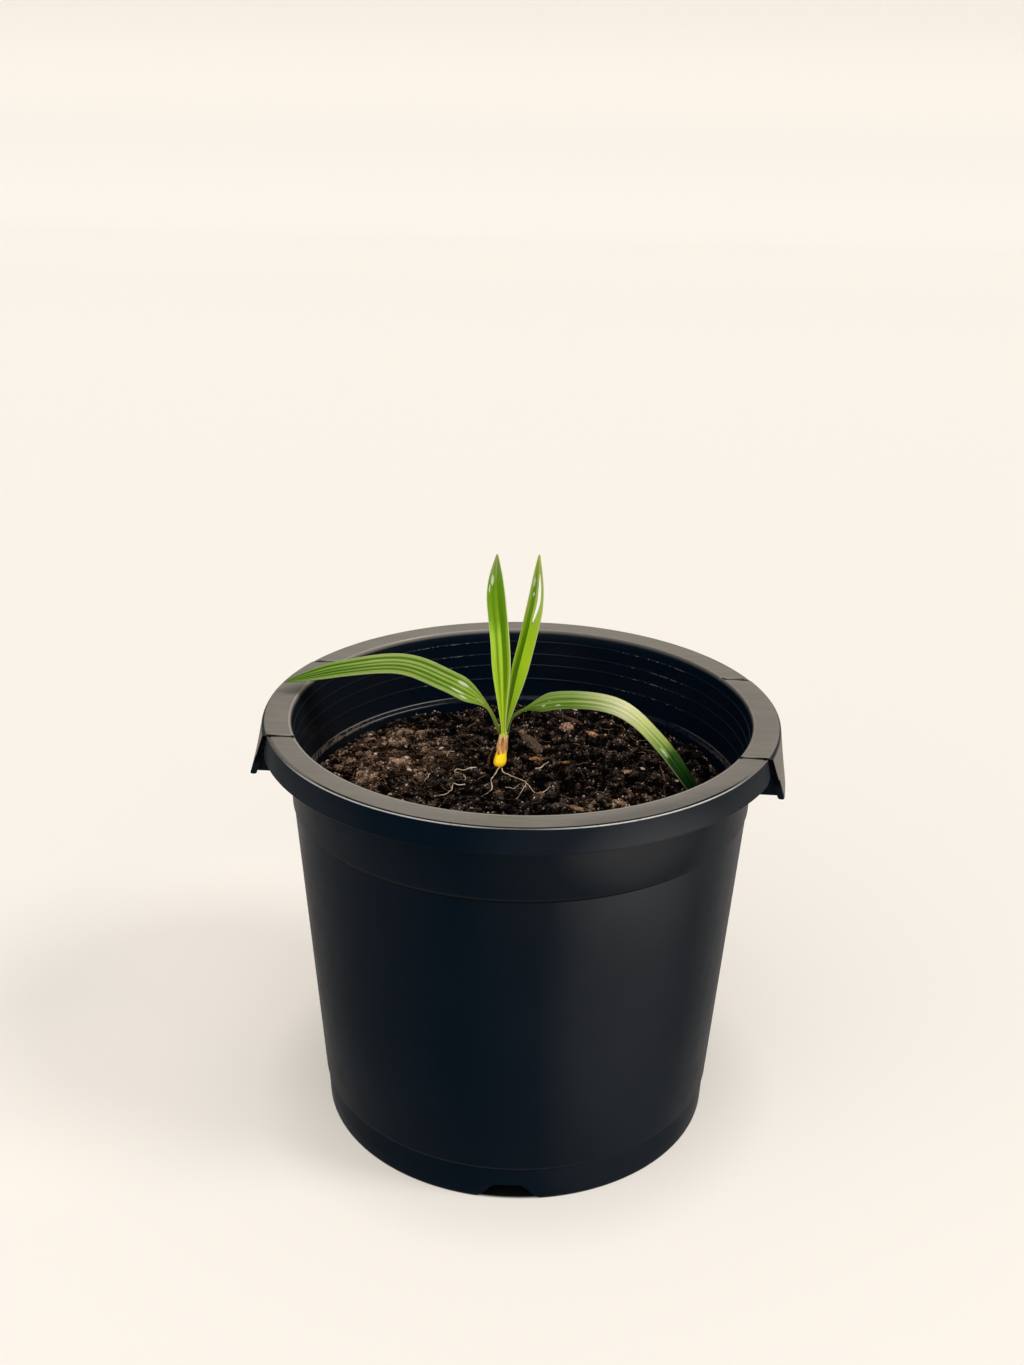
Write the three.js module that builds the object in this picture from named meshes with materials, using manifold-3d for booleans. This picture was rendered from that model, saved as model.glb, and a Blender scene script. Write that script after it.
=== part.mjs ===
// Young bailey palm in a black nursery container with two lifting handles.
// Millimetres, +Z up, z = 0 is the ground and the pot's axis is the Z axis. The front of the pot faces -Y.
import * as THREE from 'three';
import { mergeVertices } from 'three/addons/utils/BufferGeometryUtils.js';
import Module from 'manifold-3d';

const wasm = await Module();
wasm.setup();

// Container
const potHeight = 284;
const rimRadius = 165;
const mouthRadius = 148.4;
const flangeThickness = 3;
const edgeChamfer = 0.9;
const skirtDepth = 15.9;
const skirtFlare = 2.2;
const skirtThickness = 2.6;
const neckRadius = 150.8; // outside of the wall, just under the flange
const shoulderHeight = 227.7; // the step where stacked pots meet
const shoulderRadius = 148.2;
const shoulderStep = 0.8;
const footBandHeight = 24.9;
const footBandTopRadius = 132.4;
const footBandStep = 0.9;
const baseRadius = 131.2;
const footRingWidth = 4.7;
const footHollowHeight = 13;
const floorTop = 16;
const wallThickness = 3;
const insideCorner = 3.5; // size of the bevel between the floor and the wall
const roundSegments = 72;

// Ribs and ledge inside the mouth
const insideTopRadius = 147.4;
const ribHeights = [275, 265.5, 257, 246.4];
const ribProud = 0.6;
const ribHalfWidth = 0.8;
const ledgeTop = { height: 233, radius: 144.4 };
const ledgeBottom = { height: 230, radius: 143.2 };
const kneeHeight = 200; // below this the inside runs parallel to the outside

// Drainage
const notchCount = 3;
const notchAzimuth = -87.6;
const notchHeight = 11.3;
const notchTopHalfWidth = 8;
const notchFootHalfWidth = 23;
const drainHoleCount = 6;
const drainHoleRadius = 6;
const drainHoleCircle = 82;

// Lifting handles: each takes an arc of the rim, and both sit a little behind the pot's middle
const handleSetBack = 2;
const handleHalfAngle = 23;
const flapHeight = 27.2;
const flapThickness = 2.4;
const gripThickness = 3.4;
const edgeReach = 165.8; // the handle's upper and lower edges at its middle
const gripReach = 170;
const edgeSpread = 2.5; // how much farther out than a circle they are at both ends
const gripSpread = 6;
const webThickness = 2.2;
const webInnerRadius = 151.2;
const webInset = 0.2; // degrees between the web and the flap's end
const scoreGap = 0.6;
const pieceGap = 0.3;

// Growing mix
const soilLevel = 228;
const soilEdgeDrop = 3.2;
const soilRings = [138, 122, 104, 84, 63, 42, 22];
const levelRadius = 52; // the mix is level this far round the palm's foot
const levelBlend = 22;
const mounds = [
  { x: -88, y: 24, spread: 30, height: 3.4 },
  { x: -62, y: -62, spread: 26, height: 1.8 },
  { x: 78, y: -52, spread: 30, height: 2.2 },
  { x: 52, y: 92, spread: 24, height: 2.6 },
  { x: 108, y: 22, spread: 22, height: -2.4 },
  { x: -30, y: 112, spread: 22, height: -1.8 },
];

// The palm: its foot on the mix, and the fork that its leaves grow from, as seen from that foot
const stemFoot = new THREE.Vector3(-16.9, 31, soilLevel);
const fork = new THREE.Vector3(3, 0.2, 23.4);
const stemSides = 20;
const stemProfile = [
  [0, 0.3], [3.2, 0.3], [3.9, 1.5], [4.2, 3.5], [4.0, 6.3], [3.5, 9.3], [3.05, 11.7],
  [2.5, 12.5], [2.3, 21.1], [3.3, 21.9], [3.5, 23.3], [0, 23.3],
];
const sheathProfile = [
  [2.85, 12.7], [3.5, 12.7], [3.45, 15.3], [3.2, 18.3], [3.2, 20.9], [2.65, 20.9], [2.85, 12.7],
];
const scaleFoot = new THREE.Vector3(-7.2, 1, 0.4);
const scaleTop = new THREE.Vector3(-4.9, -0.2, 11);
const scaleWidth = 1.5;
const rootRadius = 0.5;
const leftRoot = [[0.6, -5.2], [-1.6, -14], [-3.3, -24.9], [-1.4, -35.3], [-4.2, -43], [-7.5, -49]];
const rightRoot = [
  [2.7, -5], [3.6, -11], [8.7, -16], [16.6, -22.7], [22.6, -32.6], [28, -41.6], [33, -38.4], [36.7, -31],
];

// Leaves. A midrib runs through points given from the fork; lengths along it are parts of the whole leaf.
const tipWidth = 0.5;
const archingLeft = {
  midrib: [[-2.6, 0.3, 0.7], [-13.8, -0.9, 22.6], [-41.3, -7.6, 41.8], [-68.8, -9.2, 51.2],
    [-105.5, -14.5, 48.3], [-144.1, -20.9, 40.1]],
  facing: [0, 0, 1],
  width: 20.5,
  stalkWidth: 2.4,
  opensFrom: 0.11,
  openAt: 0.27,
  tapersFrom: 0.8,
  rollAtFoot: -41,
  rollAtTip: 2,
  fold: 8,
  thickness: 1.7,
};
const archingRight = {
  midrib: [[2.7, -0.5, 0.7], [8.7, -3.2, 17.3], [37.7, -11.3, 31.3], [75.3, -23.1, 33.3],
    [102.8, -29.7, 13.3], [131.4, -39.6, -21.4]],
  facing: [0, 0, 1],
  width: 17.1,
  stalkWidth: 2.4,
  opensFrom: 0.137,
  openAt: 0.253,
  tapersFrom: 0.86,
  rollAtFoot: 33,
  rollAtTip: -5,
  fold: 8,
  thickness: 1.7,
};
const uprightLeft = {
  midrib: [[-0.2, -1.5, 0.5], [-2.6, -1.6, 60.9], [-6.1, -1.4, 100.8], [-5.9, -1.2, 127.3]],
  facing: [0, -1, 0.1],
  width: 13,
  stalkWidth: 2.2,
  opensFrom: -0.03,
  openAt: 0.442,
  tapersFrom: 0.73,
  rollAtFoot: -10.8,
  rollAtTip: -4.3,
  fold: 16,
  thickness: 1.3,
};
const uprightRight = {
  midrib: [[0.1, 1.9, 0.5], [9, 1.8, 42.1], [19, 1.5, 91.2], [21.2, 1.4, 127.4]],
  facing: [0, -1, 0.1],
  width: 11.5,
  stalkWidth: 2.2,
  opensFrom: 0,
  openAt: 0.406,
  tapersFrom: 0.644,
  rollAtFoot: -17.7,
  rollAtTip: -9.4,
  fold: 14,
  thickness: 1.3,
};
const leftBend = 0.36; // where each arching leaf is parted at its bend
const rightBend = 0.47;
const bendGap = 0.002;
const slit = { from: 0.6, to: 0.9, halfWidth: 1.5, offset: 0.4, bow: 1.5 };

const blackPlastic = { color: 0x14181c, roughness: 0.42, metalness: 0 };
const growingMix = { color: 0x2a1c14, roughness: 0.95, metalness: 0 };
const yellowBase = { color: 0xe8b21c, roughness: 0.5, metalness: 0 };
const drySheath = { color: 0xb98148, roughness: 0.8, metalness: 0 };
const paleRoot = { color: 0xb59a80, roughness: 0.8, metalness: 0 };
const leafGreen = { color: 0x4f8a1c, roughness: 0.35, metalness: 0 };

const { clamp, degToRad, lerp, radToDeg, smoothstep } = THREE.MathUtils;

// A closed geometry with shared corners, without the slivers that a lathe leaves on its axis
function weld(geometry) {
  geometry.deleteAttribute('normal');
  geometry.deleteAttribute('uv');
  const merged = mergeVertices(geometry, 1e-4);
  const index = merged.index.array;
  const kept = [];
  for (let i = 0; i < index.length; i += 3) {
    const [a, b, c] = [index[i], index[i + 1], index[i + 2]];
    if (a !== b && b !== c && c !== a) kept.push(a, b, c);
  }
  merged.setIndex(kept);
  merged.computeVertexNormals();
  return merged;
}

function toSolid(geometry) {
  const welded = weld(geometry);
  return new wasm.Manifold(new wasm.Mesh({
    numProp: 3,
    vertProperties: new Float32Array(welded.attributes.position.array),
    triVerts: new Uint32Array(welded.index.array),
  }));
}

function toGeometry(solid) {
  const mesh = solid.getMesh();
  const geometry = new THREE.BufferGeometry();
  geometry.setAttribute('position', new THREE.BufferAttribute(new Float32Array(mesh.vertProperties), 3));
  geometry.setIndex(new THREE.BufferAttribute(new Uint32Array(mesh.triVerts), 1));
  geometry.computeVertexNormals();
  return geometry;
}

function namedMesh(name, geometry, look) {
  const mesh = new THREE.Mesh(geometry, new THREE.MeshStandardMaterial(look));
  mesh.name = name;
  return mesh;
}

// Moves every corner of a geometry to place(x, y, z)
function reshape(geometry, place) {
  const position = geometry.attributes.position;
  for (let i = 0; i < position.count; i += 1) {
    const p = place(position.getX(i), position.getY(i), position.getZ(i));
    position.setXYZ(i, p.x, p.y, p.z);
  }
  geometry.computeVertexNormals();
  return geometry;
}

// Turns a profile of [radius, height] pairs round the Z axis
function turned(profile, segments = roundSegments) {
  const points = profile.map(([radius, height]) => new THREE.Vector2(radius, height));
  return weld(new THREE.LatheGeometry(points, segments).rotateX(Math.PI / 2));
}

// A strip to be bent: -1 to 1 across, -1 to 1 through its skin and 0 to 1 along
function strip(acrossSteps, alongSteps) {
  return weld(new THREE.BoxGeometry(2, 2, 1, acrossSteps, 1, alongSteps).translate(0, 0, 0.5));
}

// A wedge of a thick disc between two azimuths, for cutting the rim into arcs
function wedge(fromDegrees, toDegrees) {
  const reach = 2 * rimRadius;
  const depth = 2 * skirtDepth;
  const shape = new THREE.Shape().moveTo(0, 0);
  const steps = 12;
  for (let i = 0; i <= steps; i += 1) {
    const angle = degToRad(lerp(fromDegrees, toDegrees, i / steps));
    shape.lineTo(reach * Math.cos(angle), reach * Math.sin(angle));
  }
  const prism = new THREE.ExtrudeGeometry(shape, { depth, bevelEnabled: false });
  return toSolid(prism.translate(0, 0, potHeight - 0.75 * depth));
}

// Outer radius of the wall between the foot band and the shoulder
function outsideRadius(height) {
  const up = (height - footBandHeight) / (shoulderHeight - footBandHeight);
  return lerp(footBandTopRadius + footBandStep, shoulderRadius, up);
}

// Inner radius of the wall below the ledge
function insideRadius(height) {
  const onWall = clamp(height, floorTop + insideCorner, kneeHeight);
  const up = Math.max(0, (height - kneeHeight) / (ledgeBottom.height - kneeHeight));
  return lerp(outsideRadius(onWall) - wallThickness, ledgeBottom.radius, up);
}

// A raised rib inside the mouth, from its upper edge to its lower edge
function ribProfile(height) {
  return [ribHalfWidth, 0, -ribHalfWidth].map((offset) => {
    const down = (potHeight - height - offset) / (potHeight - ledgeTop.height);
    const proud = offset === 0 ? ribProud : 0;
    return [lerp(insideTopRadius, ledgeTop.radius, down) - proud, height + offset];
  });
}

// An arch through the foot ring that lets water out
function drainNotch(azimuth) {
  const mid = (notchTopHalfWidth + notchFootHalfWidth) / 2;
  const shape = new THREE.Shape()
    .moveTo(-notchFootHalfWidth, -1)
    .lineTo(-notchFootHalfWidth, 0)
    .bezierCurveTo(-mid, 0.6, -mid, notchHeight, -notchTopHalfWidth, notchHeight)
    .lineTo(notchTopHalfWidth, notchHeight)
    .bezierCurveTo(mid, notchHeight, mid, 0.6, notchFootHalfWidth, 0)
    .lineTo(notchFootHalfWidth, -1);
  const inner = baseRadius - 3 * footRingWidth;
  const depth = 4 * footRingWidth;
  const prism = new THREE.ExtrudeGeometry(shape, { depth, bevelEnabled: false, curveSegments: 6 });
  prism.rotateX(Math.PI / 2).translate(0, -inner, 0);
  return toSolid(prism.rotateZ(degToRad(azimuth + 90)));
}

function drainHole(azimuth) {
  const depth = 3 * (floorTop - footHollowHeight);
  const hole = new THREE.CylinderGeometry(drainHoleRadius, drainHoleRadius, depth, 16);
  hole.rotateX(Math.PI / 2).translate(drainHoleCircle, 0, (footHollowHeight + floorTop) / 2);
  return toSolid(hole.rotateZ(degToRad(azimuth)));
}

function potBody() {
  const top = potHeight - flangeThickness - pieceGap;
  const footInside = baseRadius - footRingWidth;
  const bevelHeight = floorTop + insideCorner;
  let body = toSolid(turned([
    [0, footHollowHeight],
    [footInside, footHollowHeight],
    [footInside, 0],
    [baseRadius - 1, 0],
    [baseRadius, 1.2],
    [footBandTopRadius, footBandHeight - 1.2],
    [outsideRadius(footBandHeight), footBandHeight],
    [shoulderRadius, shoulderHeight],
    [shoulderRadius + shoulderStep, shoulderHeight + 1.2],
    [neckRadius, top],
    [insideTopRadius, top],
    ...ribHeights.flatMap(ribProfile),
    [ledgeTop.radius, ledgeTop.height],
    [ledgeBottom.radius, ledgeBottom.height],
    [insideRadius(kneeHeight), kneeHeight],
    [insideRadius(bevelHeight), bevelHeight],
    [insideRadius(bevelHeight) - insideCorner, floorTop],
    [0, floorTop],
  ]));
  for (let i = 0; i < notchCount; i += 1) {
    body = body.subtract(drainNotch(notchAzimuth + (360 * i) / notchCount));
  }
  for (let i = 0; i < drainHoleCount; i += 1) {
    body = body.subtract(drainHole((360 * i) / drainHoleCount));
  }
  return toGeometry(body);
}

// The rolled rim: a flat flange and the skirt that hangs from its outer edge
function rimRing() {
  const under = potHeight - flangeThickness;
  const skirtFoot = potHeight - skirtDepth;
  return toSolid(turned([
    [mouthRadius, under],
    [rimRadius - skirtThickness, under],
    [rimRadius + skirtFlare - skirtThickness, skirtFoot],
    [rimRadius + skirtFlare, skirtFoot],
    [rimRadius, potHeight - edgeChamfer],
    [rimRadius - edgeChamfer, potHeight],
    [mouthRadius, potHeight],
    [mouthRadius, under],
  ]));
}

// Half of the angle that a score line takes up in the rim
function halfScore() {
  return radToDeg(scoreGap / 2 / rimRadius);
}

// The arc of the rim that runs from one handle to the next
function rimArc(handleAzimuth, nextAzimuth) {
  const away = handleHalfAngle + halfScore();
  return toGeometry(rimRing().intersect(wedge(handleAzimuth + away, nextAzimuth - away)));
}

// The flange and flap of a handle, which swing out from the rim's circle toward both ends
function flangeAndFlap() {
  const under = potHeight - flangeThickness;
  const foot = potHeight - flapHeight;
  const section = new THREE.Shape()
    .moveTo(mouthRadius, under)
    .lineTo(edgeReach - flapThickness, under)
    .lineTo(gripReach - gripThickness, foot)
    .lineTo(gripReach, foot)
    .lineTo(edgeReach, potHeight - edgeChamfer)
    .lineTo(edgeReach - edgeChamfer, potHeight)
    .lineTo(mouthRadius, potHeight);
  const sweep = new THREE.ExtrudeGeometry(section, { depth: 2, steps: 20, bevelEnabled: false });
  return toSolid(reshape(sweep.translate(0, 0, -1), (radius, height, along) => {
    const out = (radius - mouthRadius) / (edgeReach - mouthRadius);
    const down = Math.max(0, (under - height) / (under - foot));
    const spread = lerp(edgeSpread * Math.min(1, out), gripSpread, down);
    const angle = -degToRad(handleHalfAngle - halfScore()) * along;
    const reach = radius + spread * along * along;
    return new THREE.Vector3(reach * Math.cos(angle), reach * Math.sin(angle), height);
  }));
}

// A plate that closes one end of the space behind the flap
function endWeb(side) {
  const high = potHeight - 0.5 * flangeThickness;
  const low = potHeight - flapHeight + 0.4;
  const shape = new THREE.Shape()
    .moveTo(webInnerRadius, high)
    .lineTo(webInnerRadius, low)
    .lineTo(gripReach + gripSpread - 0.6 * gripThickness, low)
    .lineTo(edgeReach + edgeSpread - 0.6 * flapThickness, high);
  const plate = new THREE.ExtrudeGeometry(shape, { depth: webThickness, bevelEnabled: false });
  plate.rotateX(Math.PI / 2).translate(0, side > 0 ? 0 : webThickness, 0);
  return toSolid(plate.rotateZ(degToRad(side * (handleHalfAngle - halfScore() - webInset))));
}

function handle(name, azimuth) {
  const grip = flangeAndFlap().add(endWeb(1)).add(endWeb(-1));
  const mesh = namedMesh(name, toGeometry(grip), blackPlastic);
  mesh.rotation.z = degToRad(azimuth);
  return mesh;
}

// How far the top of the mix stands above or below its level
function soilRelief(x, y) {
  let relief = 0.5 * Math.sin(x * 0.11 + 1.3) * Math.cos(y * 0.09 - 0.4);
  for (const mound of mounds) {
    const distance = Math.hypot(x - mound.x, y - mound.y) / mound.spread;
    relief += mound.height * Math.exp(-distance * distance);
  }
  const fromFoot = Math.hypot(x - stemFoot.x, y - stemFoot.y);
  return relief * smoothstep(fromFoot, levelRadius, levelRadius + levelBlend);
}

function soilBlock() {
  const bevelHeight = floorTop + insideCorner;
  const clear = (height) => insideRadius(height) - 1.3 * pieceGap;
  const edge = soilLevel - soilEdgeDrop;
  const block = turned([
    [0, floorTop + pieceGap],
    [clear(bevelHeight) - insideCorner, floorTop + pieceGap],
    [clear(bevelHeight), bevelHeight + pieceGap],
    [clear(kneeHeight), kneeHeight],
    [clear(edge), edge],
    ...soilRings.map((radius) => [radius, soilLevel]),
    [0, soilLevel],
  ], 60);
  return reshape(block, (x, y, z) => {
    const isTop = Math.abs(z - soilLevel) < 0.01;
    return new THREE.Vector3(x, y, isTop ? z + soilRelief(x, y) : z);
  });
}

// A turned piece that leans with the stem
function leaning(profile) {
  return reshape(turned(profile, stemSides), (x, y, z) => {
    const up = z / fork.z;
    return new THREE.Vector3(x + fork.x * up, y + fork.y * up, z);
  });
}

// A dry scale of old sheath that stands beside the yellow base
function dryScale() {
  return reshape(strip(1, 5), (across, skin, along) => {
    const p = scaleFoot.clone().lerp(scaleTop, along);
    p.x += 0.5 * scaleWidth * lerp(1, 0.4, along) * across - Math.sin(Math.PI * along);
    p.y += 0.25 * skin;
    return p;
  });
}

// A thin root that lies on the level part of the mix
function surfaceRoot(route) {
  const height = pieceGap + rootRadius;
  const path = new THREE.CatmullRomCurve3(route.map(([x, y]) => new THREE.Vector3(x, y, height)));
  const sides = 6;
  const section = new THREE.Shape(new THREE.EllipseCurve(0, 0, rootRadius, rootRadius).getPoints(sides));
  return weld(new THREE.ExtrudeGeometry(section, { extrudePath: path, steps: 3 * route.length }));
}

function midribCurve(leaf) {
  const points = leaf.midrib.map(([x, y, z]) => new THREE.Vector3(x, y, z));
  const curve = new THREE.CatmullRomCurve3(points, false, 'catmullrom', 0.5);
  curve.arcLengthDivisions = 400;
  return curve;
}

// A stretch of a leaf: a strip bent along the midrib, from narrow stalk to widening blade to pointed tip
function bladeStretch(leaf, from = 0, to = 1) {
  const curve = midribCurve(leaf);
  const facing = new THREE.Vector3(...leaf.facing);
  const fold = degToRad(leaf.fold);
  return reshape(strip(4, Math.max(10, Math.round(30 * (to - from)))), (across, skin, along) => {
    const part = lerp(from, to, along);
    const tangent = curve.getTangentAt(part);
    const up = facing.clone().addScaledVector(tangent, -facing.dot(tangent)).normalize();
    up.applyAxisAngle(tangent, degToRad(lerp(leaf.rollAtFoot, leaf.rollAtTip, part)));
    const side = new THREE.Vector3().crossVectors(up, tangent);
    const past = Math.max(0, (part - leaf.tapersFrom) / (1 - leaf.tapersFrom));
    const opened = smoothstep(part, leaf.opensFrom, leaf.openAt);
    const width = lerp(leaf.stalkWidth, leaf.width, opened) * (1 - past * past) + tipWidth;
    const reach = 0.5 * width * across;
    const halfThickness = 0.5 * leaf.thickness * lerp(1, 0.6, across * across) * lerp(1, 0.6, past * past);
    return curve.getPointAt(part)
      .addScaledVector(side, reach * Math.cos(fold))
      .addScaledVector(up, Math.abs(reach) * Math.sin(fold) + skin * halfThickness);
  });
}

// The right-hand upright leaf is split for part of its length into two strands that meet again at the tip
function slitLeaf() {
  const curve = midribCurve(uprightRight);
  const lens = reshape(strip(2, 10), (across, skin, along) => {
    const bulge = Math.sin(Math.PI * lerp(0.03, 0.97, along));
    const p = curve.getPointAt(lerp(slit.from, slit.to, along));
    p.x += slit.offset + slit.bow * bulge + slit.halfWidth * bulge * across;
    p.y += uprightRight.width * skin;
    return p;
  });
  return toGeometry(toSolid(bladeStretch(uprightRight)).subtract(toSolid(lens)));
}

const rightAzimuth = handleSetBack;
const leftAzimuth = 180 - handleSetBack;
const container = new THREE.Group().add(
  namedMesh('pot_body', potBody(), blackPlastic),
  namedMesh('rim_back', rimArc(rightAzimuth, leftAzimuth), blackPlastic),
  namedMesh('rim_front', rimArc(leftAzimuth, rightAzimuth + 360), blackPlastic),
  handle('handle_right', rightAzimuth),
  handle('handle_left', leftAzimuth),
  namedMesh('soil', soilBlock(), growingMix),
);

const crown = new THREE.Group().add(
  namedMesh('leaf_left_rise', bladeStretch(archingLeft, 0, leftBend), leafGreen),
  namedMesh('leaf_left_reach', bladeStretch(archingLeft, leftBend + bendGap, 1), leafGreen),
  namedMesh('leaf_right_rise', bladeStretch(archingRight, 0, rightBend), leafGreen),
  namedMesh('leaf_right_fall', bladeStretch(archingRight, rightBend + bendGap, 1), leafGreen),
  namedMesh('leaf_upright_left', bladeStretch(uprightLeft), leafGreen),
  namedMesh('leaf_upright_right', slitLeaf(), leafGreen),
);
crown.position.copy(fork);

const plant = new THREE.Group().add(
  namedMesh('stem', leaning(stemProfile), yellowBase),
  namedMesh('sheath', leaning(sheathProfile), drySheath),
  namedMesh('dry_scale', dryScale(), drySheath),
  namedMesh('root_left', surfaceRoot(leftRoot), paleRoot),
  namedMesh('root_right', surfaceRoot(rightRoot), paleRoot),
  crown,
);
plant.position.copy(stemFoot);

export default new THREE.Group().add(container, plant);
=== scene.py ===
from math import atan2, cos, degrees, hypot, pi, radians, sin, tau
from random import Random

import bmesh
import bpy
import numpy as np
from mathutils import Matrix, Vector, noise


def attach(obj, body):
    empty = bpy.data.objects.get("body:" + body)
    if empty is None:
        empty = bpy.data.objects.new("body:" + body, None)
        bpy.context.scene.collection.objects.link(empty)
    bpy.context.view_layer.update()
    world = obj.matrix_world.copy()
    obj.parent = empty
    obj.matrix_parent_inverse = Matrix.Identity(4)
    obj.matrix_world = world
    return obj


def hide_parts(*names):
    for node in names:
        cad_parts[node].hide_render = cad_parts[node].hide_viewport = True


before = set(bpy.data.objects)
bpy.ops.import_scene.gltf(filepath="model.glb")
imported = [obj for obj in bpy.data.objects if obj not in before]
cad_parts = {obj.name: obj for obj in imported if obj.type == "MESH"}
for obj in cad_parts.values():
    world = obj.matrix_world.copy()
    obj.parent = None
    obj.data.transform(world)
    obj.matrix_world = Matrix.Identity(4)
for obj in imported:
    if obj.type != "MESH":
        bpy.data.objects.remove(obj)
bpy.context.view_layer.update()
scene = bpy.context.scene
print("frame loaded")


# Every piece is modelled in millimetres and made metres at the end.
millimetre = 0.001
sharpAngle = 38  # degrees between two faces, past which their edge stays sharp


def blend(low, high, part):
    return low + (high - low) * part


def eased(value, low, high):
    part = min(max((value - low) / (high - low), 0), 1)
    return part * part * (3 - 2 * part)


def vertsOf(geometry):
    return [v for v in geometry if isinstance(v, bmesh.types.BMVert)]


def edgesOf(geometry):
    return [e for e in geometry if isinstance(e, bmesh.types.BMEdge)]


def meshData(name, mesh):
    data = bpy.data.meshes.new(name)
    mesh.to_mesh(data)
    mesh.free()
    return data


def linked(name, data):
    thing = bpy.data.objects.new(name, data)
    scene.collection.objects.link(thing)
    return thing


def finishPiece(name, mesh, finish, nodes, modifiers=()):
    bmesh.ops.scale(mesh, vec=[millimetre] * 3, verts=mesh.verts)
    placePiece(name, meshData(name, mesh), finish, nodes, True, modifiers)


def placePiece(name, data, finish, nodes, smooth, modifiers=()):
    data.polygons.foreach_set("use_smooth", [smooth] * len(data.polygons))
    if smooth:
        data.set_sharp_from_angle(angle=radians(sharpAngle))
    data.materials.append(finish)
    piece = linked(name, data)
    for kind, settings in modifiers:
        modifier = piece.modifiers.new(kind.title(), kind)
        for setting, value in settings.items():
            setattr(modifier, setting, value)
    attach(piece, "root")
    if nodes:
        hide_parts(*nodes)


# A shader value that can be used in sums. Numbers and other values may stand on either side.
class Value:
    def __init__(self, paint, socket):
        self.paint = paint
        self.socket = socket

    def sum(self, operation, *others):
        return self.paint.add("Math", {"operation": operation}, {i: v for i, v in enumerate((self, *others))})

    def __add__(self, other): return self.sum("ADD", other)
    def __radd__(self, other): return self.sum("ADD", other)
    def __sub__(self, other): return self.sum("SUBTRACT", other)
    def __rsub__(self, other): return self.paint.add("Math", {"operation": "SUBTRACT"}, {0: other, 1: self})
    def __mul__(self, other): return self.sum("MULTIPLY", other)
    def __rmul__(self, other): return self.sum("MULTIPLY", other)
    def __abs__(self): return self.sum("ABSOLUTE")

    def between(self, low, high, atLow=0, atHigh=1):
        # eases from one amount to the other as this value goes from low to high
        if low > high:
            low, high, atLow, atHigh = high, low, atHigh, atLow
        settings = {"interpolation_type": "SMOOTHSTEP"}
        return self.paint.add("MapRange", settings, {0: self, 1: low, 2: high, 3: atLow, 4: atHigh})

    def ramp(self, *stops):
        return self.paint.add("ValToRGB", {"stops": stops}, {0: self})


class Paint:
    def __init__(self, name, **constants):
        self.material = bpy.data.materials.new(name)
        self.material.use_nodes = True
        self.tree = self.material.node_tree
        self.shader = self.tree.nodes["Principled BSDF"]
        for socket, value in constants.items():
            self.give(socket.replace("_", " "), value)
        self.place = self.add("TexCoord", output="Object")

    def add(self, kind, settings=None, sockets=None, output=0):
        node = self.tree.nodes.new("ShaderNode" + kind)
        for setting, value in (settings or {}).items():
            if setting == "stops":
                self.setStops(node.color_ramp, value)
            else:
                setattr(node, setting, value)
        for socket, value in (sockets or {}).items():
            self.feed(node.inputs[socket], value)
        return Value(self, node.outputs[output])

    def feed(self, socket, value):
        if isinstance(value, Value):
            self.tree.links.new(value.socket, socket)
        else:
            socket.default_value = value

    def give(self, name, value):
        self.feed(self.shader.inputs[name], value)

    def glow(self, colour, strength):
        self.give("Emission Color", colour)
        self.give("Emission Strength", strength)

    def setStops(self, ramp, stops):
        while len(ramp.elements) < len(stops):
            ramp.elements.new(0.5)
        for element, (position, colour) in zip(ramp.elements, stops):
            element.position = position
            element.color = (*colour, 1)

    def attribute(self, name):
        return self.add("Attribute", {"attribute_name": name}, None, "Fac")

    def axis(self, index, source=None):
        return self.add("SeparateXYZ", None, {0: source or self.place}, output=index)

    def stretched(self, x, y, z, source=None):
        return self.add("VectorMath", {"operation": "MULTIPLY"}, {0: source or self.place, 1: (x, y, z)})

    def grain(self, scale, detail=3, roughness=0.55, source=None):
        sockets = {"Vector": source or self.place, "Scale": scale, "Detail": detail, "Roughness": roughness}
        return self.add("TexNoise", None, sockets)

    def mix(self, part, first, second):
        # the second colour laid over the first, where the part is 1
        first, second = [c if isinstance(c, Value) else (*c, 1) for c in (first, second)]
        return self.add("Mix", {"data_type": "RGBA"}, {0: part, 6: first, 7: second}, output=2)

    def finish(self, colour, roughness, height=None, depth=0.0):
        self.give("Base Color", colour)
        self.give("Roughness", roughness)
        if height is not None:
            sockets = {"Height": height, "Distance": depth, "Strength": 1.0}
            self.give("Normal", self.add("Bump", None, sockets, "Normal"))
        return self.material


# ---- camera, floor and light

view = {
    "place": (0.063342, -0.92037, 0.68332),
    "right": (0.99656, 0.08166, 0.01407),
    "up": (-0.04424, 0.38071, 0.92364),
    "forward": (-0.07006, 0.92108, -0.38301),
    "lens": 40.983,
    "filmSide": 36.0,
    "shift": 0.0021,
}


def addCamera():
    camera = linked("camera", bpy.data.cameras.new("camera"))
    turn = Matrix((view["right"], view["up"], [-v for v in view["forward"]])).transposed()
    camera.matrix_world = Matrix.Translation(view["place"]) @ turn.to_4x4()
    camera.data.sensor_fit = "VERTICAL"
    camera.data.sensor_height = view["filmSide"]
    camera.data.lens = view["lens"]
    camera.data.shift_y = view["shift"]
    scene.camera = camera


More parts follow.
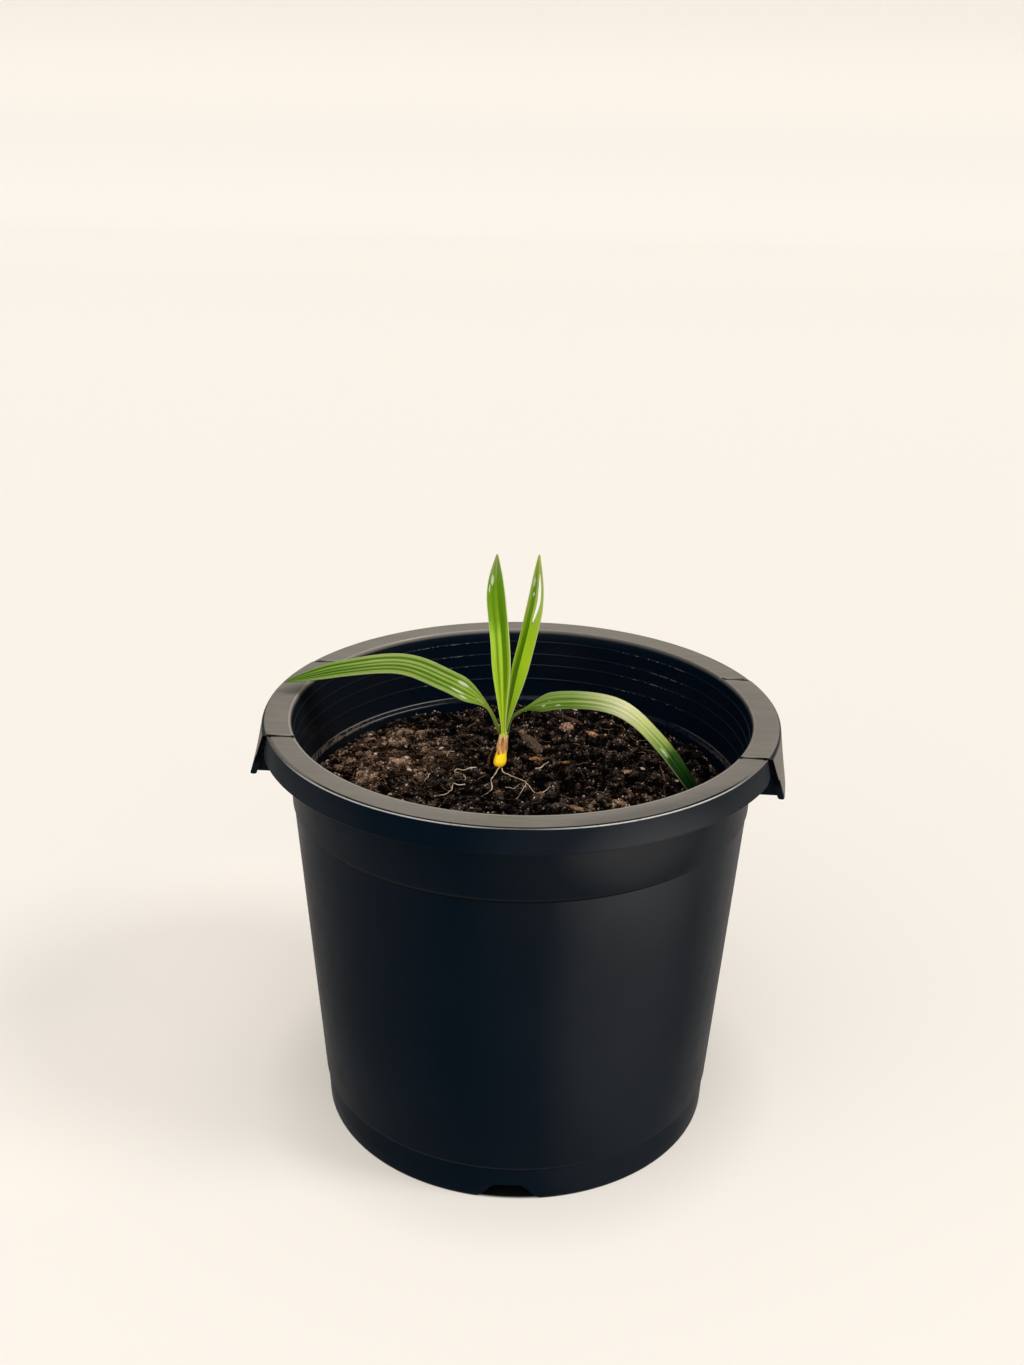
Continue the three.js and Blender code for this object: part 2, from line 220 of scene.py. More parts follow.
floor = {
    "front": -4.0, "back": 5.0, "halfWidth": 6.0, "bend": 0.8, "wall": 0.4,
    "colour": (0.5, 0.497, 0.485),
    # the light that the paper gives back by itself, and how much of it at each distance behind the pot
    "glow": (0.436, 0.392, 0.342),
    "glowAlong": [(-4.0, 1.12), (-0.25, 1.1), (0.15, 1.0), (2.5, 1.0), (4.2, 0.955), (5.2, 0.85), (5.62, 0.81),
                  (5.8, 1.0)],
    # a painted shade close to the pot: less of the glow from this radius to that, starting at this share
    "shadeBesidePot": (0.134, 0.19, 0.8),
    # painted light, more of the glow here: x, y, reach, amount
    "paintedLightPatches": [(-0.21, 0.16, 0.2, 0.12), (-0.32, -0.06, 0.14, 0.08)],
    # painted shade: under the pot the paper is coloured dark and has no glow, inside this radius
    "under": 0.1315, "underSoft": 0.003, "underShadeColour": (0.01, 0.01, 0.01),
}


def addFloor():
    mesh = bmesh.new()
    corners = [mesh.verts.new((x, floor["front"], 0)) for x in (-floor["halfWidth"], floor["halfWidth"])]
    drawn = bmesh.ops.extrude_edge_only(mesh, edges=[mesh.edges.new(corners)])["geom"]
    bmesh.ops.translate(mesh, verts=vertsOf(drawn), vec=(0, floor["back"] - floor["front"], 0))
    bend = bmesh.ops.spin(
        mesh, geom=edgesOf(drawn), cent=(0, floor["back"], floor["bend"]), axis=(1, 0, 0), angle=pi / 2, steps=24)
    drawn = bmesh.ops.extrude_edge_only(mesh, edges=edgesOf(bend["geom_last"]))["geom"]
    bmesh.ops.translate(mesh, verts=vertsOf(drawn), vec=(0, 0, floor["wall"]))
    bmesh.ops.remove_doubles(mesh, verts=mesh.verts, dist=0.0001)
    bmesh.ops.recalc_face_normals(mesh, faces=mesh.faces)
    data = meshData("studio_floor", mesh)
    data.polygons.foreach_set("use_smooth", [True] * len(data.polygons))
    paint = Paint("studioPaper", Roughness=0.9, Specular_IOR_Level=0.0)
    x, y = paint.axis(0), paint.axis(1)
    strength = floor["glowAlong"][0][1]
    for (low, before), (high, after) in zip(floor["glowAlong"], floor["glowAlong"][1:]):
        strength = strength + y.between(low, high, 0, after - before)
    for patchX, patchY, reach, amount in floor["paintedLightPatches"]:
        fromPatch = (x - patchX) * (x - patchX) + (y - patchY) * (y - patchY)
        strength = strength + fromPatch.between(reach ** 2, 0, 0, amount)
    near, far, share = floor["shadeBesidePot"]
    fromMiddle = x * x + y * y
    uncovered = fromMiddle.between((floor["under"] - floor["underSoft"]) ** 2, floor["under"] ** 2)
    strength = strength * fromMiddle.between(near ** 2, far ** 2, share, 1) * uncovered
    # a share can't pass 1, so it is halved and the colour doubled
    paint.glow(paint.mix(strength * 0.5, (0, 0, 0), [2 * v for v in floor["glow"]]), 1.0)
    # painted shade: the paper under the pot is coloured dark
    paint.give("Base Color", paint.mix(uncovered, floor["underShadeColour"], floor["colour"]))
    data.materials.append(paint.material)
    linked("studio_floor", data)


lamps = {
    "key": {"kind": "SUN", "azimuth": -13, "height": 46, "spread": 18, "power": 1.35, "colour": (1.0, 0.96, 0.91)},
    "top": {"kind": "SUN", "azimuth": -90, "height": 76, "spread": 30, "power": 0.3, "colour": (1.0, 0.98, 0.96)},
    "front": {"kind": "SUN", "azimuth": -100, "height": 48, "spread": 80, "power": 1.35, "colour": (1.0, 0.98, 0.95)},
}
worldLight = {"colour": (1.0, 0.96, 0.9, 1), "strength": 0.32}


def addLamps():
    for name, lamp in lamps.items():
        light = bpy.data.lights.new(name, lamp["kind"])
        light.energy = lamp["power"]
        light.color = lamp["colour"]
        light.angle = radians(lamp["spread"])
        holder = linked(name, light)
        azimuth, height = radians(lamp["azimuth"]), radians(lamp["height"])
        source = Vector((cos(azimuth) * cos(height), sin(azimuth) * cos(height), sin(height)))
        holder.location = 2 * source
        holder.rotation_euler = (-source).to_track_quat("-Z", "Y").to_euler()
    world = bpy.data.worlds.new("studio")
    world.use_nodes = True
    background = world.node_tree.nodes["Background"]
    background.inputs["Color"].default_value = worldLight["colour"]
    background.inputs["Strength"].default_value = worldLight["strength"]
    scene.world = world
    scene.view_settings.view_transform = "Standard"


addCamera()
addFloor()
addLamps()
print("camera, floor and lamps placed")


# ---- pot

def spun(points, steps, start=0.0, sweep=360.0, closed=False):
    mesh = bmesh.new()
    corners = [mesh.verts.new((radius, 0, height)) for radius, height in points]
    edges = [mesh.edges.new(pair) for pair in zip(corners, corners[1:])]
    if closed:
        edges.append(mesh.edges.new((corners[-1], corners[0])))
    bmesh.ops.rotate(mesh, verts=corners, cent=(0, 0, 0), matrix=Matrix.Rotation(radians(start), 3, "Z"))
    bmesh.ops.spin(
        mesh, geom=corners + edges, cent=(0, 0, 0), axis=(0, 0, 1), angle=radians(sweep), steps=steps,
        use_merge=sweep == 360)
    bmesh.ops.remove_doubles(mesh, verts=mesh.verts, dist=0.001)
    if sweep != 360:
        bmesh.ops.holes_fill(mesh, edges=[e for e in mesh.edges if e.is_boundary])
    bmesh.ops.recalc_face_normals(mesh, faces=mesh.faces)
    return mesh


def roundRings(mesh, rings, size, segments=2):
    # softens the edges that run round the pot at each of these (radius, height) places
    def onRing(vert, ring):
        return abs(hypot(vert.co.x, vert.co.y) - ring[0]) < 0.02 and abs(vert.co.z - ring[1]) < 0.02
    edges = [e for e in mesh.edges if any(all(onRing(v, ring) for v in e.verts) for ring in rings)]
    bmesh.ops.bevel(
        mesh, geom=edges, offset=size, segments=segments, affect="EDGES", profile=0.5, material=-1,
        offset_type="OFFSET", clamp_overlap=True)


pot = {
    "steps": 288,
    "height": 284, "flange": 3, "pieceGap": 0.3,
    "neck": 150.8, "shoulderHeight": 227.7, "shoulder": 148.2, "shoulderStep": 0.8,
    "footBand": 24.9, "footBandTop": 132.4, "footBandStep": 0.9, "base": 131.2,
    "footRing": 4.7, "hollow": 13, "floorTop": 16, "wall": 3, "insideCorner": 3.5,
    "insideTop": 147.4, "ribs": [275, 265.5, 257, 246.4], "ribProud": 0.45, "ribHalf": 0.55,
    "lipInner": 148.5, "lipOuter": 150.6,
    "ledgeTop": (144.4, 233), "ledgeBottom": (143.2, 230), "knee": 200,
    "notches": 3, "notchTurn": -87.6, "notchHeight": 11.3, "notchTop": 8, "notchFoot": 23,
    "notchBand": 12.2,  # the foot is stretched over the notches up to here
}


def outsideRadius(height):
    up = (height - pot["footBand"]) / (pot["shoulderHeight"] - pot["footBand"])
    return blend(pot["footBandTop"] + pot["footBandStep"], pot["shoulder"], up)


def mouthRadiusAt(height):
    down = (pot["height"] - height) / (pot["height"] - pot["ledgeTop"][1])
    return blend(pot["insideTop"], pot["ledgeTop"][0], down)


def notchRise(turn):
    # how high the foot is cut away at this angle round the pot
    spacing = 360 / pot["notches"]
    away = (turn - pot["notchTurn"] + spacing / 2) % spacing - spacing / 2
    across = abs(radians(away) * pot["base"])
    return pot["notchHeight"] * (1 - eased(across, pot["notchTop"] * 0.9, pot["notchFoot"] * 0.9))


def buildPotBody():
    top = pot["height"] - pot["flange"] - pot["pieceGap"]
    lipInner, lipOuter = pot["lipInner"], pot["lipOuter"]
    ringInside = pot["base"] - pot["footRing"]
    corner = pot["floorTop"] + pot["insideCorner"]
    wallInside = outsideRadius(corner) - pot["wall"]
    profile = [(0, pot["hollow"]), (ringInside, pot["hollow"])]
    band = pot["notchBand"]
    profile += [(ringInside, h) for h in (band, 0)]
    profile += [(blend(pot["base"], pot["footBandTop"], h / pot["footBand"]), h) for h in (0, band)]
    profile += [
        (pot["footBandTop"], pot["footBand"] - 0.6),
        (outsideRadius(pot["footBand"]), pot["footBand"]),
        (outsideRadius(110), 110),
        (pot["shoulder"], pot["shoulderHeight"]),
        (pot["shoulder"] + pot["shoulderStep"], pot["shoulderHeight"] + 1),
        (pot["neck"], top),
        (lipOuter, top + 0.2),
        (lipOuter, pot["height"] - 0.1),
        (lipOuter - 0.1, pot["height"]),
        (lipInner + 0.25, pot["height"]),
        (lipInner - 0.15, pot["height"] - 0.5),
        (pot["insideTop"] + 0.3, pot["height"] - 3.4),
    ]
    for height in pot["ribs"]:
        for offset, proud in ((2, 0), (1, 0), (0.35, 1), (-0.35, 1), (-1, 0), (-2, 0)):
            z = height + offset * pot["ribHalf"]
            profile.append((mouthRadiusAt(z) - proud * pot["ribProud"], z))
    profile += [
        pot["ledgeTop"], pot["ledgeBottom"],
        (outsideRadius(pot["knee"]) - pot["wall"], pot["knee"]),
        (wallInside, corner),
        (wallInside - pot["insideCorner"], pot["floorTop"]),
        (0, pot["floorTop"]),
    ]
    mesh = spun(profile, pot["steps"])
    steps = [(pot["shoulder"], pot["shoulderHeight"]), (outsideRadius(pot["footBand"]), pot["footBand"])]
    roundRings(mesh, steps, 0.35)
    roundRings(mesh, [pot["ledgeTop"], pot["ledgeBottom"]], 0.6)
    roundRings(mesh, [(pot["base"], 0)], 1.1, 3)
    roundRings(mesh, [(ringInside, 0)], 0.6)
    for vert in mesh.verts:
        radius = hypot(vert.co.x, vert.co.y)
        if vert.co.z < band + 0.3 and radius > ringInside - 1:
            rise = notchRise(degrees(atan2(vert.co.y, vert.co.x)))
            lifted = vert.co.z + rise * max(0, 1 - vert.co.z / band)
            if radius > ringInside + 1:
                slope = (pot["footBandTop"] - pot["base"]) / pot["footBand"]
                factor = (radius + (lifted - vert.co.z) * slope) / radius
                vert.co.x *= factor
                vert.co.y *= factor
            vert.co.z = lifted
    return mesh


rim = {
    "radius": 165, "mouth": 149.9, "skirt": 15.9, "flare": 2.2, "skirtWall": 2.6,
    "frontCut": -58.2, "backCut": 68.3, "cut": 1.4, "cornerRound": 8, "steps": 170, "crowding": 0.7,
}


def innerEdge():
    mouth, top = rim["mouth"], pot["height"]
    return [(mouth, top - pot["flange"]), (mouth, top - 0.15), (mouth + 0.3, top - 0.02)]


def rimSection():
    # from the inner side over the top, with the fine bead along the outer edge, round the skirt
    top = pot["height"]
    foot = top - rim["skirt"]
    outer = rim["radius"]
    footRadius = outer + rim["flare"]
    return innerEdge() + [
        (outer - 2.6, top - 0.02),
        (outer - 2.3, top - 0.4),
        (outer - 0.9, top - 0.5),
        (outer - 0.65, top - 0.1),
        (outer - 0.3, top - 0.15),
        (outer, top - 0.75),
        (footRadius - 0.25, foot + 1.4),
        (footRadius, foot + 0.6),
        (footRadius - 0.4, foot),
        (footRadius - rim["skirtWall"] + 0.4, foot),
        (footRadius - rim["skirtWall"], foot + 0.5),
        (outer - rim["skirtWall"], top - pot["flange"]),
    ]


# A piece of the rim is spun over this arc, start and sweep in degrees, and then spread to where its ends belong.
firstArc = (5, 170)


def firstArcPart(vert):
    # how far round the first arc this vertex is, from 0 to 1
    start, sweep = firstArc
    return (degrees(atan2(vert.co.y, vert.co.x)) - start) / sweep


def cutAngle(radius, y):
    # where a circle of this radius meets the straight cut across the rim
    return atan2(y, (radius ** 2 - y ** 2) ** 0.5)


def buildRimArc(back):
    mesh = spun(rimSection(), rim["steps"], *firstArc, closed=True)
    gap = rim["cut"] / 2
    top = pot["height"]
    for vert in mesh.verts:
        radius = hypot(vert.co.x, vert.co.y)
        part = firstArcPart(vert)
        part -= rim["crowding"] * sin(tau * part) / tau  # closer cross-sections near both ends
        if back:
            start = cutAngle(radius, rim["backCut"] + gap)
            sweep = pi - 2 * start
        else:
            start = pi - cutAngle(radius, rim["frontCut"] - gap)
            sweep = 3 * pi - 2 * start
        fromEnd = min(part, 1 - part) * sweep * radius
        if fromEnd < rim["cornerRound"] and radius > rim["radius"] - rim["skirtWall"] - 1:
            inset = rim["cornerRound"] - fromEnd
            lift = rim["cornerRound"] - max(0, rim["cornerRound"] ** 2 - inset ** 2) ** 0.5
            vert.co.z += 0.9 * lift * eased(top - vert.co.z, pot["flange"], rim["skirt"])
        angle = start + part * sweep
        vert.co.x = radius * cos(angle)
        vert.co.y = radius * sin(angle)
    return mesh


grip = {
    "height": 27.2, "thick": 4.2, "hem": 13.6, "thin": 2.2, "edge": 165.8, "reach": 168.9, "axis": 2, "halfAngle": 23,
    "edgeSpread": 1.9, "spread": 8.2, "web": 2.2, "webInside": 151.2, "webInset": 4.2, "steps": 70,
}


def buildHandle(mirrored):
    top = pot["height"]
    under = top - pot["flange"]
    foot = top - grip["height"]
    edge, reach = grip["edge"], grip["reach"]
    slope = (reach - edge) / (top - foot)
    hem = foot + grip["hem"]
    hemOuter = reach - slope * grip["hem"]
    section = innerEdge() + [
        (edge - 1.5, top - 0.02),
        (edge - 0.6, top - 0.25),
        (edge, top - 0.9),
        (reach - 0.1, foot + 1.6),
        (reach, foot + 0.8),
        (reach - 0.6, foot + 0.05),
        (reach - 0.5 * grip["thick"], foot - 0.2),
        (reach - grip["thick"] + 0.5, foot + 0.1),
        (reach - grip["thick"], foot + 1.0),
        (hemOuter - grip["thick"], hem),
        (hemOuter - grip["thin"] - 0.2, hem + 1.2),
        (edge - grip["thin"], under),
    ]
    mesh = spun(section, grip["steps"], *firstArc, closed=True)
    gap = rim["cut"] / 2
    for vert in mesh.verts:
        base = hypot(vert.co.x, vert.co.y)
        part = firstArcPart(vert)
        out = min(1, (base - rim["mouth"]) / (edge - rim["mouth"]))
        down = max(0, (under - vert.co.z) / (under - foot))
        radius = base
        for step in range(3):  # the angle depends on the radius and the radius on the angle
            start = cutAngle(radius, rim["frontCut"] + gap)
            end = cutAngle(radius, rim["backCut"] - gap)
            angle = blend(start, end, part)
            along = (degrees(angle) - grip["axis"]) / grip["halfAngle"]
            atEdge = grip["edgeSpread"] * out * along * along * (along < 0)
            radius = base + blend(atEdge, grip["spread"] * along * along, down)
        vert.co.x = radius * cos(angle)
        vert.co.y = radius * sin(angle)
    addWeb(mesh, rim["frontCut"] + gap + grip["webInset"], 1)
    addWeb(mesh, rim["backCut"] - gap - grip["webInset"], -1)
    if mirrored:
        bmesh.ops.scale(mesh, vec=(-1, 1, 1), verts=mesh.verts)
    bmesh.ops.recalc_face_normals(mesh, faces=mesh.faces)
    return mesh


def addWeb(mesh, y, inward):
    # the thin wall that closes the end of the flap, between the pot and the flap
    high = pot["height"] - 0.5 * pot["flange"]
    low = pot["height"] - grip["height"] + 0.5
    outHigh = grip["edge"] - 0.5 * grip["thin"]
    outLow = grip["reach"] + grip["spread"] * 0.72 - 0.5 * grip["thick"]
    corners = [(grip["webInside"], high), (grip["webInside"], low), (outLow, low), (outHigh, high)]
    verts = [mesh.verts.new(((radius ** 2 - y ** 2) ** 0.5, y, height)) for radius, height in corners]
    drawn = bmesh.ops.extrude_face_region(mesh, geom=[mesh.faces.new(verts)])["geom"]
    bmesh.ops.translate(mesh, verts=vertsOf(drawn), vec=(0, inward * grip["web"], 0))


plasticTonesAndPaintedLight = {
    # Besides the plastic's own tones and the dust of the mix, these colours are painted light: the grey of the rim's
    # top and the flaps' faces, the sheen, lit lines, lit ribs and glints are painted reflection and highlights; the
    # dark lines and the shade are painted shade; the deeper blue inside is a painted shade tint.
    "dark": ((0.0007, 0.0044, 0.0098), (0.0012, 0.0055, 0.0114)), "shade": (0.0012, 0.0055, 0.0114),
    "deep": (0.0004, 0.0048, 0.014),
    "top": (0.182, 0.168, 0.149), "topPaintedSheen": (0.222, 0.203, 0.178), "topPaintedShade": (0.05, 0.05, 0.048),
    "flap": (0.21, 0.19, 0.165), "paintedSheen": (0.045, 0.0475, 0.052), "line": (0.0002, 0.0005, 0.001),
    "edge": (0.014, 0.015, 0.016), "glint": (0.62, 0.62, 0.6), "ribs": (0.011, 0.015, 0.019),
    "dust": (0.19, 0.155, 0.115), "lipHighlight": (0.31, 0.285, 0.25),
    # where each painted sheen, painted glint and the dust show: degrees to the right of the front, how squarely a spot
    # has to face that way for the mark to begin and to be full, and how strong it is
    "wallSheenSides": [(31, 0.915, 1.02, 0.77), (24, 0.8, 1.0, 0.14), (62, 0.88, 1.05, 0.25), (-44, 0.8, 1.05, 0.05),
                   (74, 0.95, 1.0, 0.28), (-74, 0.95, 1.0, 0.24)],
    "skirtSheenSides": [(62, 0.8, 1.05, 0.24), (-52, 0.85, 1.05, 0.22)],
    "ribGlintSides": [(27, 0.975, 0.995, 0.3), (-36, 0.97, 0.99, 0.35)],
    "ledgeGlintSides": [(48, 0.86, 0.98, 0.5), (-64, 0.92, 0.98, 0.16)],
    "dustSides": [(74, 0.86, 0.97, 0.9), (-78, 0.9, 0.97, 0.4)],
    # fine rings round the pot in metres, painted shade, painted highlights and dust: height, half the width, strength
    "shoulderShadeLine": (0.2278, 0.0008, 0.9),
    "litLines": [(0.2292, 0.0009, 0.5), (0.0254, 0.0007, 0.9)],
    "ledgeGlintLines": [(0.2336, 0.0005, 1), (0.2308, 0.0004, 1)],
    "ribHalf": 0.0007, "lipGlintLine": (0.2833, 0.0011, 0.3), "dustLine": (0.2316, 0.0028, 1),
    "topFrom": (0.279, 0.281), "hemEnd": -0.0555,
}


def plasticFinish(name, paintedLitFlap):
    paint = Paint(name, Specular_IOR_Level=0.018, Coat_Roughness=0.24)
    x, y, height = [paint.axis(k) for k in range(3)]
    turned = paint.add("NewGeometry", output="Normal")
    normalX, normalY, upward = [paint.axis(k, turned) for k in range(3)]
    away = x * x + y * y  # the square of the distance from the middle

    def facing(angle, low, high, strength=1):
        # where the surface faces this many degrees to the right of the front
        return (normalX * sin(radians(angle)) - normalY * cos(radians(angle))).between(low, high, 0, strength)

    def toward(angle, low, high, strength=1):
        # on the side of the pot that lies this many degrees to the right of the front
        return (x * sin(radians(angle)) - y * cos(radians(angle))).between(low, high, 0, strength)

    def ring(level, half, strength=1):
        return abs(height - level).between(half, half * 0.4, 0, strength)

    def sides(name):
        return sum(facing(*side) for side in plasticTonesAndPaintedLight[name])

    def rings(name):
        return sum(ring(*line) for line in plasticTonesAndPaintedLight[name])

    dust = paint.grain(60, 4, 0.6)
    cloud = paint.grain(11, 3, 0.55)
    brushed = paint.grain(26, 3, 0.6, paint.stretched(1, 6, 1))
    specks = paint.grain(420, 2, 0.6)
    atTop = height.between(*plasticTonesAndPaintedLight["topFrom"])
    rimTop = upward.between(0.2, 0.6) * atTop * away.between(0.02722, 0.02712)
    outward = x * normalX + y * normalY
    inside = outward.between(0.0, -0.04) * height.between(0.2, 0.225)
    outside = outward.between(0.02, 0.08) * (1 - rimTop)

    # painted sheen: the wall, greyed where the light grazes it
    lobes = sides("wallSheenSides") + sides("skirtSheenSides") * height.between(0.262, 0.27)
    paintedSheen = lobes * (height * 2 + 0.19 + height.between(0.17, 0.276, 0, 0.75)) * outside
    colour = paint.mix(cloud.between(0.35, 0.7), *plasticTonesAndPaintedLight["dark"])

    def lay(part, tone):
        nonlocal colour
        colour = paint.mix(part, colour, plasticTonesAndPaintedLight[tone])

    lay(paintedSheen * cloud.between(0.2, 0.8, 0.85, 1.1), "paintedSheen")
    # painted shade: the inside is tinted a deeper blue-black
    lay(inside * 0.6, "deep")
    # painted light: the inside is a little lighter where it faces the light
    lay(facing(82, 0.5, 1.0, 0.45) * inside, "edge")
    # painted shade: a dark line under the shoulder step
    lay(ring(*plasticTonesAndPaintedLight["shoulderShadeLine"]) * outside, "line")
    # painted highlights: lit lines by the shoulder and the foot band, and along the bottom edge of the foot
    lay((rings("litLines") + height.between(0.0022, 0.0012, 0, 0.8)) * outside, "edge")

    # the top of the rim, its grey a painted reflection, paler toward the back and with a painted shade at the front
    # right; the seams beside the flaps; and the bead along the edge
    grey = paint.mix(brushed.between(0.3, 0.7, 0, 0.7) + y.between(0.0, 0.15, 0, 0.55), plasticTonesAndPaintedLight["top"], plasticTonesAndPaintedLight["topPaintedSheen"])
    grey = paint.mix(toward(33, 0.146, 0.16, 0.35), grey, plasticTonesAndPaintedLight["topPaintedShade"])
    colour = paint.mix(rimTop, colour, grey)
    # painted highlight: a thin lit line along the inner edge of the top
    lay(away.between(0.0225, 0.0224) * rimTop * (1 - toward(120, 0.03, 0.1, 0.85)), "lipHighlight")
    # at each seam a painted highlight along the top behind it, and a dark painted shade on the cut ends
    for level, half in ((rim["frontCut"], 0.0021), (rim["backCut"], 0.0023)):
        cut = y - level * millimetre
        lay(abs(cut - 0.0024).between(0.0014, 0.0003, 0, 0.5) * rimTop, "lipHighlight")
        lay(abs(cut).between(half, half * 0.7) * height.between(0.262, 0.268) * outward.between(-0.02, 0.0), "line")
    # painted shade: a dark line in the groove of the bead, and shade on the rounded outer edge
    leftOfFront = toward(40, 0.004, 0.03)
    groove = away.between(0.02638, 0.02646) * away.between(0.02706, 0.027) * atTop
    lay(groove * toward(0, 0.07, 0.11, 0.95) * leftOfFront, "line")
    rounded = away.between(0.0262, 0.0271) * rimTop * toward(0, 0.05, 0.06, 0.7)
    lay(rounded * (1 - leftOfFront) * (1 - toward(90, -0.1, 0)), "shade")
    brink = away.between(0.02704, 0.02708) * height.between(0.2831, 0.2835) * away.between(0.0285, 0.0275)
    shine = toward(33, 0.145, 0.163, 0.8) + toward(-28, 0.142, 0.16, 0.6) + 0.05
    lay(brink * shine * specks.between(0.2, 0.5, 0.6, 1), "glint")

    # inside: the ribs with painted highlights and glints, the lip with a painted glint, and the ledge with painted
    # glints and the dust of the mix on it
    raised = sum(ring(level * millimetre, plasticTonesAndPaintedLight["ribHalf"]) for level in pot["ribs"])
    # painted highlight: the ribs are lighter where they face the light
    lay(raised * inside * (facing(50, 0.1, 0.9, 0.85) + 0.06), "ribs")
    ribGlints = raised * inside * specks.between(0.5, 0.62) * sides("ribGlintSides")
    lay(ribGlints + ring(*plasticTonesAndPaintedLight["lipGlintLine"]) * inside * facing(30, 0.93, 0.99), "glint")
    ledge = away.between(0.0217, 0.0214) * inside
    lay(rings("ledgeGlintLines") * sides("ledgeGlintSides") * ledge, "glint")
    settled = paint.grain(300, 4, 0.7).between(0.4, 0.58) * ring(*plasticTonesAndPaintedLight["dustLine"]) * ledge
    lay(settled * (sides("dustSides") + 0.06), "dust")
    if paintedLitFlap:
        # painted light: the flaps' outer faces are coloured pale grey, all but the hem's end face
        pale = outward.between(0.1, 0.14) * away.between(0.0268, 0.0274) * (1 - rimTop)
        hemEnd = (y - plasticTonesAndPaintedLight["hemEnd"]).between(0.0004, -0.0004) * height.between(0.2702, 0.2692)
        lay(pale * (1 - hemEnd) * dust.between(0.2, 0.8, 0.75, 1), "flap")
    paint.give("Coat Weight", rimTop * 0.35 + inside * (0.5 - raised * 0.42))
    fine = paint.grain(900, 2, 0.5)
    return paint.finish(colour, dust * 0.14 + 0.33 + rimTop * 0.12, fine * 0.5 + cloud * 0.8, 0.00005)


blackPlastic = plasticFinish("blackPlastic", False)
litFlapPlastic = plasticFinish("litFlapPlastic", True)
edgeSoftening = [("BEVEL", {"width": 0.00035, "segments": 2, "limit_method": "ANGLE", "angle_limit": radians(50)})]
finishPiece("pot_shell", buildPotBody(), blackPlastic, ["pot_body"])
for name, back in (("back", True), ("front", False)):
    arc = buildRimArc(back)
    finishPiece("rolled_rim_" + name, arc, blackPlastic, ["rim_" + name], modifiers=edgeSoftening)
for name, mirrored in (("right", False), ("left", True)):
    flap = buildHandle(mirrored)
    finishPiece("lifting_flap_" + name, flap, litFlapPlastic, ["handle_" + name], modifiers=edgeSoftening)
print("pot modelled")


# ---- growing mix

mix = {
    "level": 228, "edgeDrop": 3.2, "edge": 142.3, "steps": 520, "rings": 118, "clear": 0.4,
    # the ground is calmer round the stem's foot, within this radius
    "foot": (-16.9, 31), "levelRadius": 40, "levelBlend": 30,
    # relief: size across, height
    "lumps": (24, 3.6), "clods": (8.5, 3.4), "pebbles": (4.2, 2), "grains": (1.9, 0.7),
    # x, y, spread, height
    "mounds": [(-94, 16, 30, 4.6), (-62, -62, 26, 2.0), (78, -52, 30, 2.6), (52, 92, 24, 2.8), (108, 22, 22, -2.6),
               (-30, 112, 22, -2.2), (-66, 66, 18, 2.2), (-44, -26, 14, -2.4), (34, -52, 20, 2.0),
               (10, -44, 14, -2.2)],
    # x, y, spread, dryness; the one below zero is a painted shade that darkens the mix on the right
    "dry": [(-92, 46, 42, 1.15), (-100, 6, 28, 0.7), (66, -28, 26, 0.62), (70, 4, 20, 0.42), (10, 34, 14, 0.25),
            (94, 48, 30, -0.7), (-46, -44, 22, 0.3), (12, 70, 16, 0.4), (0, 24, 14, 0.3)],
}


def swell(x, y, places):
    # the sum here of rounded swellings: x, y, spread, amount
    total = 0
    for placeX, placeY, spread, amount in places:
        total += amount * 2.718 ** -(((x - placeX) ** 2 + (y - placeY) ** 2) / spread ** 2)
    return total


def fromFoot(x, y):
    return hypot(x - mix["foot"][0], y - mix["foot"][1])


def soilShape(x, y):
    # the height of the mix here and how far it stands out of its surroundings, from 0 to 1
    spot = Vector((x, y, 0))
    (lumpSize, lumpHeight), (clodSize, clodHeight) = mix["lumps"], mix["clods"]
    (pebbleSize, pebbleHeight), (grainSize, grainHeight) = mix["pebbles"], mix["grains"]
    ease = blend(0.25, 1, eased(fromFoot(x, y), mix["levelRadius"], mix["levelRadius"] + mix["levelBlend"]))
    lumps = lumpHeight * noise.fractal(spot / lumpSize, 1.0, 2.1, 2)
    clods = noise.fractal(spot / clodSize + Vector((3, 7, 1)), 0.8, 2.2, 4)
    wander = Vector((noise.noise(spot / 3), noise.noise(spot / 3 + Vector((5, 5, 5))), 0))
    pebbles = 0.55 - noise.voronoi(spot / pebbleSize + wander * 0.4)[0][0]
    grains = noise.fractal(spot / grainSize + Vector((9, 1, 5)), 0.8, 2.2, 2)
    rough = clodHeight * clods * blend(0.6, 1, ease) + pebbleHeight * pebbles + grainHeight * grains
    edge = eased(hypot(x, y), mix["edge"] - 12, mix["edge"])
    height = mix["level"] + (swell(x, y, mix["mounds"]) + lumps) * ease + rough - mix["edgeDrop"] * edge
    return height, min(max(0.5 + 0.42 * clods + 0.5 * pebbles + 0.25 * grains, 0), 1)


def soilHeight(x, y):
    return soilShape(x, y)[0]


def dryness(x, y):
    patchy = 0.36 * noise.fractal(Vector((x, y, 40)) / 13, 0.9, 2.1, 3)
    return eased(swell(x, y, mix["dry"]) + patchy, 0.2, 0.9)


